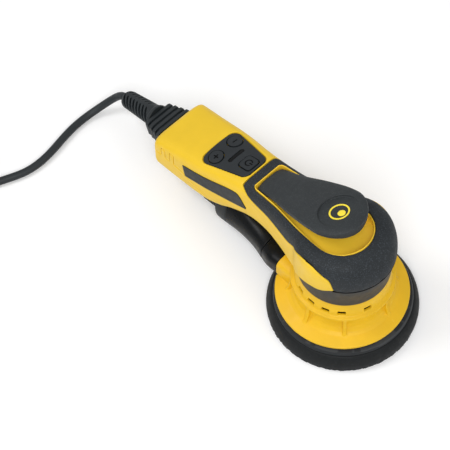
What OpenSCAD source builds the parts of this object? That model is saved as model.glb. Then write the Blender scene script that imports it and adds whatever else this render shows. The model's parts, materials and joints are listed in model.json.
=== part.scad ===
// Random-orbit finishing machine with a palm lever, dust shroud, dust duct and mains lead.
// Origin: centre of the pad's working face. +X runs from the handle to the head, +Z is up.

/* [Pad] */
// Diameter of the pad's working face
pad_d = 125; // [110:1:150]
// Diameter of the pad's upper edge
pad_top_d = 113; // [100:1:120]
// Thickness of the hook facing
facing_t = 2.5; // [1.5:0.5:4]
// Thickness of the foam
foam_t = 14; // [8:1:18]
// Thickness of the pad's stiff plate
plate_t = 3.5; // [2.5:0.5:5]
// Number of dust holes in the pad
pad_holes = 8; // [6:1:10]
// Diameter of a dust hole
pad_hole_d = 10; // [6:1:12]
// Diameter of the circle of dust holes
pad_hole_circle = 80; // [70:1:86]

/* [Orbit drive] */
// Diameter of the pad's orbit
orbit = 2.5; // [1.5:0.5:4]
// Diameter of the spindle that carries the pad
spindle_d = 10; // [8:1:12]
// Outside diameter of a spindle bearing
spindle_bearing_d = 26; // [24:1:28]
// Height of a spindle bearing
spindle_bearing_h = 8; // [6:1:9]
// Diameter of the motor shaft
shaft_d = 10; // [8:1:12]
// Diameter of the cooling fan
fan_d = 58; // [50:1:62]
// Number of fan blades
fan_blades = 18; // [12:1:24]

/* [Motor] */
// Outside diameter of the stator
stator_d = 66; // [60:1:68]
// Height of the stator's core
stator_h = 18; // [14:1:20]
// Number of stator teeth
stator_teeth = 9; // [6:3:12]
// Diameter of the rotor
rotor_d = 31; // [26:1:34]
// Air gap between rotor and stator
air_gap = 0.6; // [0.4:0.1:1]
// Outside diameter of a motor bearing
motor_bearing_d = 22; // [20:1:24]
// Height of a motor bearing
motor_bearing_h = 6; // [5:0.5:7]

/* [Shroud] */
// Diameter of the shroud's lower edge
shroud_d = 109.4; // [106:0.2:114]
// Gap between the pad and the shroud
shroud_gap = 2.2; // [1.5:0.1:3]
// Diameter of the shroud's neck
neck_d = 80; // [76:1:84]
// Wall of the shroud
shroud_wall = 2.4; // [2:0.1:3]
// Number of ribs on the shroud
shroud_ribs = 8; // [6:1:10]
// Width of the dust port
port_w = 60; // [48:1:64]
// Height of the dust port
port_h = 22; // [16:1:24]

/* [Housing] */
// Distance from the pad's axis to the rear face of the handle
handle_len = 193; // [180:1:205]
// Width of the handle at the rear
handle_w = 54; // [50:1:57]
// Width of the waist behind the head
waist_w = 44.6; // [42:0.2:47]
// Diameter of the head over the arms
head_d = 81.6; // [79:0.2:84]
// Height of the seam between collar and grip
seam_z = 89; // [86:1:92]
// Height of the handle's top at the keypad
top_z = 87.2; // [85:0.2:90]
// Slope of the handle's top
handle_slope = 16.7; // [14:0.1:19]
// Height of the underside at the rear of the handle
belly_z = 28; // [26:1:30]
// Thickness of the soft grip
grip_t = 2.6; // [2:0.1:3.2]
// Height of the collar below the grip
collar_h = 26.6; // [24:0.2:28]

/* [Lever] */
// Length of the lever
lever_len = 98; // [92:1:102]
// Width of the lever's round front
lever_w = 49.4; // [46:0.2:51]
// Width of the lever's rear end
lever_rear_w = 25; // [23:1:26]
// Thickness of the lever at its edge
lever_t = 9; // [7:0.5:10]
// Diameter of the lever's pin
lever_pin_d = 4; // [3:0.5:5]
// Diameter of the dimple in the lever
dimple_d = 29; // [24:1:32]

/* [Keypad] */
// Distance from the pad's axis to the middle of the keypad
keypad_x = 121; // [116:1:126]
// Length of the keypad along the handle
keypad_len = 45; // [42:1:48]
// Diameter of the speed keys
key_d = 12.6; // [11:0.2:13.4]
// Distance between the speed keys
key_pitch = 21.2; // [20:0.2:22]
// Width of the power key
power_w = 13; // [11:0.5:14]
// Travel of a key
key_travel = 0.7; // [0.4:0.1:1]

/* [Dust duct] */
// Width of the duct
duct_w = 44; // [40:1:46]
// Height of the duct
duct_h = 31; // [27:1:33]
// Height of the duct's axis where the hose fitting starts
duct_z = 25.8; // [24:0.2:28]
// Tilt of the hose fitting, down to the rear
duct_tilt = 8; // [6:0.5:10]
// Diameter of the ribbed cuff
cuff_d = 35; // [33:0.2:37]
// Outside diameter of the hose spigot
spigot_d = 29; // [26:1:31]
// Bore of the hose spigot
spigot_bore = 25; // [22:1:26]
// Length of the hose spigot
spigot_len = 24; // [18:1:28]

/* [Cable] */
// Diameter of the mains lead
cord_d = 6.8; // [6:0.1:7.4]
// Length of the tapered boot
boot_len = 43; // [37:1:49]
// Number of notches round the boot
boot_notches = 8; // [6:1:10]
// Number of folds in the bellows
bellows_folds = 4; // [3:1:5]
// Droop of the cable outlet
cable_droop = 16.5; // [12:0.5:20]

/* [Clearances] */
// Gap between parts of one body that sit in each other
seat_gap = 0.15; // [0.1:0.05:0.25]
// Radial gap of a running shaft
run_gap = 0.05; // [0.03:0.01:0.08]
// Gap beside a moving key or lever
move_gap = 0.5; // [0.35:0.05:0.8]

/* [Hidden] */
$fn = 64;

yellow = [0.91, 0.76, 0.18];
black = [0.17, 0.18, 0.19];
grey = [0.3, 0.31, 0.32];
steel = [0.7, 0.71, 0.72];
copper = [0.72, 0.42, 0.2];
green = [0.1, 0.35, 0.2];

// Levels of the pad, from the working face up
plate_z = facing_t + foam_t;
pad_top_z = plate_z + plate_t;
orbit_offset = orbit / 2;
stud_d = 6;
stud_flange_d = 26;
stud_flange_h = 2;
stud_reach = 12;

// Levels of the eccentric drive
spindle_flange_d = 22;
spindle_flange_h = 3;
bearing_z = pad_top_z + spindle_flange_h + 2;
bearing_step = spindle_bearing_h + 1;
bearing_top_z = bearing_z + bearing_step + spindle_bearing_h;
circlip_h = 1;
spindle_top_z = bearing_top_z + circlip_h + 1;
hub_wall = 4.5;
hub_r = spindle_bearing_d / 2 + orbit_offset + hub_wall;
hub_z = bearing_z - 0.6;
hub_socket_z = spindle_top_z + 1.5;
hub_top_z = hub_socket_z + 5;
weight_w = 9;
weight_h = 12;
weight_angle = 150;
shaft_z = hub_socket_z + 0.3;
fan_z = hub_top_z + 0.8;
fan_h = 8;

// Levels of the motor and of the shroud below it
collar_z = seam_z - collar_h;
shroud_z = pad_top_z + shroud_gap;
shroud_top_z = collar_z - seat_gap;
shroud_r = shroud_d / 2;
neck_r = neck_d / 2;
motor_plate_z = collar_z + 0.3;
motor_plate_t = 3;
lower_bearing_z = motor_plate_z + 1;
winding_h = 2.6;
winding_w = 2.2;
stator_z = lower_bearing_z + motor_bearing_h + winding_h + 0.6;
stator_yoke = 4;
tooth_w = 5;
tooth_angle = 30;
winding_gap = 1.3;
winding_in = rotor_d / 2 + air_gap + 2.6;
winding_len = stator_d / 2 - stator_yoke - winding_gap - winding_in;
magnet_t = 2.5;
magnets = 6;
upper_bearing_z = stator_z + stator_h + winding_h + 0.5;
shaft_top_z = upper_bearing_z + motor_bearing_h - 0.3;
collar_bore_r = stator_d / 2 + seat_gap;
head_r = head_d / 2;
arm_t = 2.3;
collar_gap = 0.3;
collar_r = head_r - arm_t - collar_gap;
motor_screw_circle = 56;
motor_screw_d = 3;

// A smooth curve through hand-placed points [x, value], by cubic pieces with central slopes
function slope_at(c, i) =
    i == 0 ? (c[1][1] - c[0][1]) / (c[1][0] - c[0][0]) :
    i == len(c) - 1 ? (c[i][1] - c[i - 1][1]) / (c[i][0] - c[i - 1][0]) :
    (c[i + 1][1] - c[i - 1][1]) / (c[i + 1][0] - c[i - 1][0]);
function piece_of(c, x) = max(0, min(len(c) - 2, len([for (p = c) if (p[0] <= x) 1]) - 1));
function cubic(c, i, h, t) =
    (2 * t * t * t - 3 * t * t + 1) * c[i][1] + (t * t * t - 2 * t * t + t) * h * slope_at(c, i)
    + (3 * t * t - 2 * t * t * t) * c[i + 1][1] + (t * t * t - t * t) * h * slope_at(c, i + 1);
function curve(c, x) =
    let(i = piece_of(c, x), h = c[i + 1][0] - c[i][0])
    cubic(c, i, h, max(0, min(1, (x - c[i][0]) / h)));
function range(a, b, n) = [for (i = [0 : n]) a + (b - a) * i / n];

// The top line of the handle, and the sloping plane of the rim round the lever
function handle_top(x) = top_z + (x + keypad_x) * tan(handle_slope);
rim_x = -keypad_x + 34;
rim_z = handle_top(rim_x) - 0.6;
rim_slope = 9.8;
function rim_top(x) = rim_z + (x - rim_x) * tan(rim_slope);

// The body's sections across X: half width, top, widest level, underside and roundness
tip_x = 20.5;
grip_x = rim_x - 9;
flare_x = -26;
rear_round = 5;
flare_half_w = sqrt(head_r * head_r - flare_x * flare_x);
WIDTHS = [[-handle_len, handle_w / 2 + 1.2], [-165, handle_w / 2 + 0.4], [-134, handle_w / 2 - 0.6],
    [-106, waist_w / 2 + 1.3], [-84, waist_w / 2 - 0.4], [-64, waist_w / 2 + 0.4], [-45, waist_w / 2 + 3.6],
    [-34, waist_w / 2 + 6.6], [flare_x, flare_half_w], [flare_x + 8, flare_half_w + 5]];
TOPS = [[-handle_len, handle_top(-handle_len)], [-134, handle_top(-134)], [rim_x, handle_top(rim_x)],
    [-66, rim_top(-66) + 1.2], [-40, rim_top(-40) + 2], [-13, rim_top(-13) + 2.8], [2, rim_top(2) + 2.8],
    [tip_x, rim_top(tip_x)], [27, rim_top(tip_x) - 2.2], [33, rim_top(tip_x) - 7.5],
    [37.5, rim_top(tip_x) - 15], [39.6, seam_z + 6.4], [head_r, seam_z + 2]];
MIDDLES = [[-handle_len, belly_z + 20], [-165, belly_z + 23], [-134, belly_z + 30], [-106, seam_z - 22],
    [rim_x, seam_z - 14], [-66, seam_z - 8.7], [-45, seam_z - 6.6], [-33, seam_z - 5.2], [-20, seam_z - 1.5],
    [-5, seam_z + 3.3], [9, seam_z + 2.9], [16, seam_z + 1.8], [tip_x, seam_z + 0.6], [24, seam_z + 0.2],
    [head_r, seam_z + 0.2]];
UNDERS = [[-handle_len, belly_z], [-160, belly_z], [-134, belly_z + 1.5], [-118, belly_z + 7.5],
    [-106, belly_z + 16], [rim_x, belly_z + 23.5], [-60, belly_z + 24.5], [-40, belly_z + 25.5], [-24, belly_z + 29],
    [-12, belly_z + 40], [0, belly_z + 47], [10, belly_z + 50.5], [16, belly_z + 54], [tip_x, belly_z + 59.5]];
ROUND_UP = [[-handle_len, 5.4], [-134, 6], [-106, 5], [-85, 4.8], [-66, 5], [-40, 5], [-26, 4.8], [0, 4.2],
    [tip_x, 3.3], [head_r, 2.6]];
ROUND_DOWN = [[-handle_len, 5], [-106, 4], [-66, 3.6], [-26, 6], [8, 6], [tip_x, 3], [head_r, 3]];
// Angle up the section at which the soft grip starts
GRIP_EDGE = [[grip_x, 48], [-92, 42], [-86, 31], [-76, 18], [-66, 10], [9, 10], [16, 8], [tip_x, 6], [tip_x + 1.2, 0.4],
    [head_r, 0.4]];

function rear_inset(x) =
    let(d = min(rear_round, x + handle_len))
    rear_round - sqrt(max(0, rear_round * rear_round - (rear_round - d) * (rear_round - d)));
function half_w(x) = (x > flare_x ? sqrt(max(0.01, head_r * head_r - x * x)) : curve(WIDTHS, x)) - rear_inset(x);
function z_top(x) = curve(TOPS, x) - rear_inset(x);
function z_mid(x) = curve(MIDDLES, x);
function z_under(x) = min(z_mid(x) - 1.2, curve(UNDERS, x) + rear_inset(x));
function grip_edge(x) = curve(GRIP_EDGE, x);

// One point of a section, at an angle round it, moved in by an inset
function round_at(a, n) = pow(pow(abs(cos(a)), n) + pow(abs(sin(a)), n), -1 / n);
function shrink(x, w, inset) = x > 0 ? w * (1 - inset / head_r) : w - inset;
function section_point(x, a, inset = 0) =
    let(up = sin(a) >= 0, n = up ? curve(ROUND_UP, x) : curve(ROUND_DOWN, x), p = round_at(a, n),
        tall = up ? z_top(x) - z_mid(x) : z_mid(x) - z_under(x))
    [x > 0 ? x * (1 - inset / head_r) : x, shrink(x, half_w(x), inset) * p * cos(a),
        z_mid(x) + (up ? max(0.4, tall - inset) : tall) * p * sin(a)];
// The half width of the body at one level
function side_at(x, z, out) =
    let(up = z >= z_mid(x), n = up ? curve(ROUND_UP, x) : curve(ROUND_DOWN, x),
        tall = up ? z_top(x) - z_mid(x) : z_mid(x) - z_under(x))
    (half_w(x) + out) * pow(max(0, 1 - pow(abs(z - z_mid(x)) / (tall + out), n)), 1 / n);

// A solid through rings of equal length, whose first half faces its second half
module loft(rings) {
    n = len(rings[0]);
    last = len(rings) - 1;
    points = [for (r = rings) each r];
    sides = [for (i = [0 : last - 1], j = [0 : n - 1])
        let(a = i * n + j, b = i * n + (j + 1) % n) each [[a, b + n, b], [a, a + n, b + n]]];
    caps = [for (j = [0 : n / 2 - 2])
        let(a = j, b = j + 1, c = n - 2 - j, d = n - 1 - j, e = last * n)
        each [[a, b, c], [a, c, d], [e + d, e + c, e + b], [e + d, e + b, e + a]]];
    polyhedron(points, concat(sides, caps), convexity = 8);
}

// A pipe through outer rings with a matching set of inner rings
module pipe(outer, inner) {
    n = len(outer[0]);
    last = len(outer) - 1;
    c = n * (last + 1);
    points = concat([for (r = outer) each r], [for (r = inner) each r]);
    walls = [for (i = [0 : last - 1], j = [0 : n - 1])
        let(a = i * n + j, b = i * n + (j + 1) % n)
        each [[a, b + n, b], [a, a + n, b + n], [c + a, c + b, c + b + n], [c + a, c + b + n, c + a + n]]];
    ends = [for (j = [0 : n - 1])
        let(b = (j + 1) % n, e = last * n)
        each [[j, b, c + b], [j, c + b, c + j], [e + j, c + e + b, e + b], [e + j, c + e + j, c + e + b]]];
    polyhedron(points, concat(walls, ends), convexity = 8);
}

// A round tube along a path, with its ring of points square to the path
function unit(v) = v / norm(v);
function along(path, i) = unit(path[min(len(path) - 1, i + 1)] - path[max(0, i - 1)]);
function tube(path, r, sides) = [for (i = [0 : len(path) - 1])
    let(t = along(path, i), s = unit(cross([0, 0, 1], t)), u = cross(t, s))
    [for (j = [0 : sides - 1]) path[i] + r * (cos(j * 360 / sides) * s + sin(j * 360 / sides) * u)]];

// Frames: on the sloping top, on the rim plane, along the cable outlet and along the hose fitting
gland_z = 48.6;
bellows_len = 24;
fitting_x = -113;
module on_top(x) translate([x, 0, handle_top(x)]) rotate([0, -handle_slope, 0]) children();
module on_rim() translate([rim_x, 0, rim_z]) rotate([0, -rim_slope, 0]) children();
module on_cable() translate([-handle_len, 0, gland_z]) rotate([0, -90 - cable_droop, 0]) children();
module on_fitting() translate([fitting_x, 0, duct_z]) rotate([0, -90 - duct_tilt, 0]) children();
module on_pad_axis(z = 0) translate([orbit_offset, 0, z]) children();
module ring(r_out, r_in, h) difference() {
    cylinder(r = r_out, h = h);
    translate([0, 0, -1]) cylinder(r = r_in, h = h + 2);
}
module round_bar(p, q, r) translate(p) rotate([90, 0, 0]) cylinder(r = r, h = q);

// Pad: dust holes run through every layer
module pad_drilling() {
    for (i = [0 : pad_holes - 1]) rotate([0, 0, (i + 0.5) * 360 / pad_holes])
        translate([pad_hole_circle / 2, 0, -1]) cylinder(d = pad_hole_d, h = pad_top_z + 2);
}
module hook_facing() color(grey) on_pad_axis() difference() {
    cylinder(d = pad_d - 0.8, h = facing_t - seat_gap);
    pad_drilling();
}
module pad_foam() color(black) on_pad_axis() difference() {
    rotate_extrude() polygon([[0, facing_t], [pad_d / 2 - 0.6, facing_t], [pad_d / 2, facing_t + 0.8],
        [pad_d / 2 - 0.3, facing_t + foam_t * 0.35], [pad_d / 2 - 1.6, facing_t + foam_t * 0.7],
        [pad_top_d / 2 + 2.4, plate_z - 1.6], [pad_top_d / 2 + 1.2, plate_z - seat_gap], [0, plate_z - seat_gap]]);
    pad_drilling();
    translate([0, 0, plate_z - stud_flange_h - 2 * seat_gap]) cylinder(d = stud_flange_d + 2 * seat_gap, h = 5);
}
module pad_plate() color(grey) on_pad_axis() difference() {
    union() {
        rotate_extrude() polygon([[0, plate_z], [pad_top_d / 2 + 0.6, plate_z], [pad_top_d / 2, pad_top_z - 0.8],
            [pad_top_d / 2 - 1, pad_top_z], [0, pad_top_z]]);
        for (i = [0 : pad_holes - 1]) rotate([0, 0, i * 360 / pad_holes])
            translate([spindle_flange_d / 2 + 1, -1, pad_top_z - 1]) cube([28, 2, 2]);
    }
    pad_drilling();
    translate([0, 0, plate_z - 1]) cylinder(d = stud_d + 2 * seat_gap, h = plate_t + 4);
}
module pad_stud() color(steel) on_pad_axis() {
    translate([0, 0, plate_z - stud_flange_h - seat_gap]) cylinder(d = stud_flange_d, h = stud_flange_h);
    translate([0, 0, plate_z - 1]) cylinder(d = stud_d, h = plate_t + 1 + stud_reach);
}

// The short spindle turns in two bearings held off centre by the hub
module spindle() color(steel) on_pad_axis() difference() {
    union() {
        translate([0, 0, pad_top_z + seat_gap]) cylinder(d = spindle_flange_d, h = spindle_flange_h - seat_gap);
        translate([0, 0, pad_top_z + 1]) cylinder(d = spindle_d + 3, h = bearing_z - pad_top_z - 1 - seat_gap);
        translate([0, 0, pad_top_z + 1]) cylinder(d = spindle_d, h = spindle_top_z - pad_top_z - 1);
    }
    translate([0, 0, pad_top_z - 1]) cylinder(d = stud_d + 2 * seat_gap, h = stud_reach + 2);
    translate([0, 0, bearing_top_z + seat_gap]) ring(spindle_d, spindle_d / 2 - 0.8, circlip_h);
}
module spindle_circlip() color(steel) on_pad_axis(bearing_top_z + 2 * seat_gap) difference() {
    ring(spindle_d / 2 + 1.6, spindle_d / 2 - 0.6, circlip_h - 2 * seat_gap);
    translate([0, -1.5, -1]) cube([spindle_d, 3, 4]);
}
module ball_bearing(bore_r, outer_r, h) rotate_extrude() polygon([
    [bore_r, 0], [bore_r + 1.6, 0], [bore_r + 1.9, 0.5], [outer_r - 1.9, 0.5], [outer_r - 1.6, 0], [outer_r, 0],
    [outer_r, h], [outer_r - 1.6, h], [outer_r - 1.9, h - 0.5], [bore_r + 1.9, h - 0.5], [bore_r + 1.6, h], [bore_r, h]]);
module spindle_bearings() color(steel) for (i = [0, 1]) on_pad_axis(bearing_z + i * bearing_step)
    ball_bearing(spindle_d / 2 + run_gap, spindle_bearing_d / 2, spindle_bearing_h);
module eccentric_hub() color(steel) difference() {
    union() {
        translate([0, 0, hub_z]) cylinder(r = hub_r, h = hub_socket_z - hub_z);
        translate([0, 0, hub_socket_z - 1]) cylinder(d = shaft_d + 8, h = hub_top_z - hub_socket_z + 1);
        translate([0, 0, hub_socket_z - weight_h]) rotate([0, 0, 180 - weight_angle / 2])
            rotate_extrude(angle = weight_angle) translate([hub_r - 1, 0]) square([weight_w, weight_h]);
    }
    on_pad_axis(hub_z - 1) cylinder(d = spindle_bearing_d + 2 * seat_gap, h = spindle_top_z - hub_z + 1.6);
    translate([0, 0, shaft_z - seat_gap]) cylinder(d = shaft_d + 2 * seat_gap, h = hub_top_z);
}
module motor_shaft() color(steel) translate([0, 0, shaft_z]) cylinder(d = shaft_d, h = shaft_top_z - shaft_z);
module cooling_fan() color(black) difference() {
    union() {
        translate([0, 0, fan_z + fan_h - 1.6]) cylinder(d = fan_d, h = 1.6);
        translate([0, 0, fan_z + 0.6]) cylinder(d = shaft_d + 7, h = fan_h - 1);
        for (i = [0 : fan_blades - 1]) rotate([0, 0, i * 360 / fan_blades]) translate([fan_d * 0.3, 0, fan_z])
            rotate([0, 0, 28]) cube([fan_d * 0.19, 1.2, fan_h - 1]);
    }
    translate([0, 0, fan_z - 1]) cylinder(d = shaft_d + 2 * seat_gap, h = fan_h + 2);
}
module motor_bearing(z) translate([0, 0, z]) ball_bearing(shaft_d / 2 + run_gap, motor_bearing_d / 2, motor_bearing_h);
module lower_bearing() color(steel) motor_bearing(lower_bearing_z);
module upper_bearing() color(steel) motor_bearing(upper_bearing_z);
module rotor_core() color(grey) translate([0, 0, stator_z])
    ring(rotor_d / 2 - magnet_t - seat_gap, shaft_d / 2 + seat_gap, stator_h);
module rotor_magnets() color(steel) translate([0, 0, stator_z]) for (i = [0 : magnets - 1])
    rotate([0, 0, i * 360 / magnets]) rotate_extrude(angle = 360 / magnets - 6)
        translate([rotor_d / 2 - magnet_t, 0]) square([magnet_t, stator_h]);
// The slot between two teeth, as seen along the axis
bore_r = rotor_d / 2 + air_gap;
yoke_r = stator_d / 2 - stator_yoke;
half_pitch = 180 / stator_teeth;
slot_open = half_pitch - tooth_angle / 2;
function polar(r, a) = [r * cos(a), r * sin(a)];
function tooth_side(r) = half_pitch - asin(tooth_w / 2 / r);
function slot_side(s) = [polar(bore_r - 1, s * slot_open), polar(bore_r + 2, s * slot_open),
    polar(bore_r + 2, s * tooth_side(bore_r + 2)), polar(yoke_r, s * tooth_side(yoke_r))];
function backward(c) = [for (i = [len(c) - 1 : -1 : 0]) c[i]];
module stator_core() color(grey) translate([0, 0, stator_z]) difference() {
    cylinder(d = stator_d, h = stator_h);
    translate([0, 0, -1]) cylinder(r = bore_r, h = stator_h + 2);
    for (i = [0 : stator_teeth - 1]) rotate([0, 0, (i + 0.25) * 360 / stator_teeth]) translate([0, 0, -1])
        linear_extrude(stator_h + 2) polygon(concat(slot_side(-1), backward(slot_side(1))));
}
// One coil round each tooth, kept clear of the core
module stator_windings() color(copper) for (i = [0 : stator_teeth - 1]) rotate([0, 0, (i + 0.75) * 360 / stator_teeth])
    translate([winding_in, 0, stator_z + stator_h / 2]) difference() {
        translate([0, -tooth_w / 2 - winding_w, -stator_h / 2 - winding_h])
            cube([winding_len, tooth_w + 2 * winding_w, stator_h + 2 * winding_h]);
        translate([-1, -tooth_w / 2 - seat_gap, -stator_h / 2 - seat_gap])
            cube([winding_len + 2, tooth_w + 2 * seat_gap, stator_h + 2 * seat_gap]);
    }
module motor_screw_places() for (i = [0 : 3]) rotate([0, 0, 45 + i * 90]) translate([motor_screw_circle / 2, 0, 0])
    children();
module motor_plate() color(grey) difference() {
    union() {
        translate([0, 0, motor_plate_z]) cylinder(r = collar_bore_r - seat_gap, h = motor_plate_t);
        translate([0, 0, motor_plate_z]) cylinder(d = motor_bearing_d + 5, h = motor_bearing_h);
    }
    translate([0, 0, lower_bearing_z - seat_gap]) cylinder(d = motor_bearing_d + 2 * seat_gap, h = 20);
    translate([0, 0, motor_plate_z - 1]) cylinder(d = shaft_d + 4, h = 20);
    motor_screw_places() translate([0, 0, motor_plate_z - 1]) cylinder(d = motor_screw_d + 0.4, h = 10);
    for (i = [0 : 3]) rotate([0, 0, i * 90]) translate([19, -5, motor_plate_z - 1]) cube([9, 10, 10]);
}
module motor_screws() color(steel) motor_screw_places() {
    translate([0, 0, motor_plate_z - 2 - seat_gap]) cylinder(d = 2 * motor_screw_d, h = 2);
    translate([0, 0, motor_plate_z - 1]) cylinder(d = motor_screw_d, h = motor_plate_t + 4.5);
}
boss_h = 4.4;
module motor_collar() color(black) difference() {
    union() {
        rotate_extrude() polygon([[collar_bore_r, collar_z], [collar_r - 1.4, collar_z], [collar_r - 0.7, collar_z + 0.7],
            [collar_r, collar_z + 12], [collar_r, seam_z - 0.2], [collar_bore_r, seam_z - 0.2]]);
        motor_screw_places() translate([0, 0, motor_plate_z + motor_plate_t + seat_gap]) {
            cylinder(r = 3.6, h = boss_h);
            translate([0, -3.6, 0]) cube([collar_bore_r - motor_screw_circle / 2 + 1, 7.2, boss_h]);
        }
    }
    motor_screw_places() translate([0, 0, motor_plate_z]) cylinder(d = motor_screw_d + 2 * seat_gap, h = 9);
}

// Dust shroud: a bell with ribs, air slots and a flat port at the rear
port_x = -46;
port_z = shroud_z + 1.5 + port_h / 2;
shroud_tall = shroud_top_z - shroud_z;
SHROUD_OUT = [[shroud_r, 0], [shroud_r, 2.2], [neck_r + 5.6, 5.4], [neck_r + 2.8, 7.4], [neck_r + 0.6, 11],
    [neck_r - 0.2, 16], [neck_r, 21], [neck_r + 2.2, 23.4], [neck_r + 2.4, 25.8], [neck_r - 0.6, 26.8],
    [neck_r - 1.4, 30.6], [neck_r - 2.2, 32.4], [neck_r - 3.2, 36.4], [neck_r - 3.2, shroud_tall]];
SHROUD_IN = [[shroud_r - 1.8, -1], [shroud_r - 1.8, 0.4], [neck_r + 4, 3.4], [neck_r + 0.8, 6],
    [neck_r + 0.6 - shroud_wall, 11], [neck_r - 0.2 - shroud_wall, 16], [neck_r - 0.6 - shroud_wall, 26],
    [neck_r - 1.4 - shroud_wall, 30], [neck_r - 3.2 - shroud_wall, 36], [neck_r - 3.2 - shroud_wall, shroud_tall + 1]];
rib_start = 4;
rib_step = 350 / shroud_ribs;
rib_t = 3;
SLOTS = [-108, -88, -68, -48, -16, 48, 68, 88, 108];
slot_w = 7.4;
slot_h = 5;
// An oval in the plane across X, flattened by its power n
function oval(w, h, n, count) = [for (i = [0 : count - 1])
    let(a = (i + 0.5) * 360 / count, p = round_at(a, n)) [w * p * cos(a), h * p * sin(a)]];
module across_x(x, len) translate([x, 0, 0]) rotate([90, 0, 90]) linear_extrude(len) children();
module port(inset, x, len) across_x(x, len) translate([0, port_z])
    polygon(oval(port_w / 2 - inset, port_h / 2 - inset, 5, 32));
module dust_shroud() color(yellow) difference() {
    union() {
        translate([0, 0, shroud_z]) rotate_extrude() polygon(concat(SHROUD_OUT, [[0, shroud_tall], [0, 0]]));
        for (i = [0 : shroud_ribs - 1]) let(a = rib_start + i * rib_step) if (cos(a) > -0.8) rotate([0, 0, a])
            translate([0, rib_t / 2, shroud_z]) rotate([90, 0, 0]) linear_extrude(rib_t) polygon([[neck_r - 1.6, 5],
                [neck_r + 6.6, 4.2], [neck_r + 4.2, 9], [neck_r + 2.6, 17], [neck_r + 2.3, 25], [neck_r - 1.6, 25]]);
        port(0, port_x, 20);
    }
    translate([0, 0, shroud_z]) rotate_extrude() polygon(concat(SHROUD_IN, [[0, shroud_tall + 1], [0, -1]]));
    port(shroud_wall, port_x - 1, 22);
    translate([port_x - 40, -80, shroud_z - 2]) cube([40, 160, 60]);
    for (a = SLOTS) rotate([0, 0, a]) translate([neck_r - 8, -slot_w / 2, shroud_z + 27]) cube([16, slot_w, slot_h]);
}
module brake_seal() color(black) translate([0, 0, pad_top_z + 0.6]) difference() {
    union() {
        ring(shroud_r - 1.8 - seat_gap, shroud_r - 6, 1.4);
        ring(shroud_r - 1.8 - seat_gap, shroud_r - 3.6, shroud_gap - 0.4);
    }
    translate([port_x - 40 - 0.2, -80, -5]) cube([40, 160, 20]);
}

// Dust duct: a flat elbow, an oval run and a tilted round fitting
elbow_x = -66;
duct_wall = 2.2;
// Along X: half width, half height, level and tilt of the duct's sections
flange_r = cuff_d / 2 + 4.8;
DUCT_W = [[fitting_x, flange_r], [-104, duct_w / 2 - 0.2], [-92, duct_w / 2], [-80, duct_w / 2 + 1.4],
    [elbow_x, duct_w / 2 + 5.2], [-56, port_w / 2 + 0.2], [port_x, port_w / 2]];
DUCT_H = [[fitting_x, flange_r], [-104, duct_h / 2 + 3], [-92, duct_h / 2 + 0.3], [-80, duct_h / 2 - 1.4],
    [elbow_x, port_h / 2 + 1.6], [-56, port_h / 2 + 0.4], [port_x, port_h / 2]];
DUCT_Z = [[fitting_x, duct_z], [-104, duct_z + 0.8], [-92, duct_z + 1.7], [-80, duct_z + 2.3], [elbow_x, port_z - 4.8],
    [-56, port_z - 1.3], [port_x, port_z]];
DUCT_N = [[fitting_x, 2], [-104, 2.3], [-92, 2.7], [elbow_x, 3.4], [port_x, 5]];
function duct_lean(x) = duct_tilt * max(0, min(1, (-92 - x) / (-92 - fitting_x)));
function duct_ring(x, inset) = [for (p = oval(curve(DUCT_W, x) - inset, curve(DUCT_H, x) - inset, curve(DUCT_N, x), 32))
    [x - p[1] * sin(duct_lean(x)), p[0], curve(DUCT_Z, x) + p[1] * cos(duct_lean(x))]];
module duct_run(xs) pipe([for (x = xs) duct_ring(x, 0)], [for (x = xs) duct_ring(x, duct_wall)]);
module duct_elbow() color(black) duct_run(range(elbow_x + seat_gap, port_x - seat_gap, 5));
module dust_duct() color(black) duct_run(range(fitting_x, elbow_x, 9));
cuff_ribs = 5;
cuff_start = 14;
cuff_step = 4;
spigot_start = cuff_start + cuff_ribs * cuff_step;
module hose_fitting() color(black) on_fitting() difference() {
    union() {
        translate([0, 0, seat_gap]) cylinder(r = flange_r, h = cuff_start - 1.6 - seat_gap);
        translate([0, 0, cuff_start - 2]) cylinder(r1 = flange_r - 0.4, r2 = flange_r - 1.8, h = 2);
        for (i = [0 : cuff_ribs - 1]) translate([0, 0, cuff_start - 0.5 + i * cuff_step]) {
            cylinder(d = cuff_d - 3.4, h = cuff_step + 0.5);
            translate([0, 0, 1.2]) cylinder(d = cuff_d, h = cuff_step - 1.6);
        }
        translate([0, 0, spigot_start - 1]) cylinder(d = spigot_d, h = spigot_len + 1);
    }
    translate([0, 0, -1]) cylinder(d = spigot_bore, h = 100);
    translate([0, 0, -1]) cylinder(r1 = flange_r - duct_wall, r2 = spigot_bore / 2 - 0.1, h = 12);
}

// Housing: one lofted body, split into shell and rear cover, and stepped in under the soft grip
housing_xs = concat([for (d = [0, 0.5, 1.6, 3.2]) d - handle_len], range(rear_round - handle_len, grip_x - 0.4, 8),
    range(grip_x, elbow_x, 6), range(-60, -30, 3), range(flare_x, tip_x, 7));
function spread(a, b, n) = [for (i = [0 : n]) a + (b - a) * i / n];
function housing_ring(x) = let(g = grip_edge(max(x, grip_x)), cut = x >= grip_x ? grip_t : 0) concat(
    [for (a = spread(0, g, 4)) section_point(x, a)],
    [for (a = spread(g + 1.5, 178.5 - g, 12)) section_point(x, a, cut)],
    [for (a = spread(180 - g, 180, 4)) section_point(x, a)],
    [for (a = spread(186, 354, 22)) section_point(x, a)]);
recess_d = 8;
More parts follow.
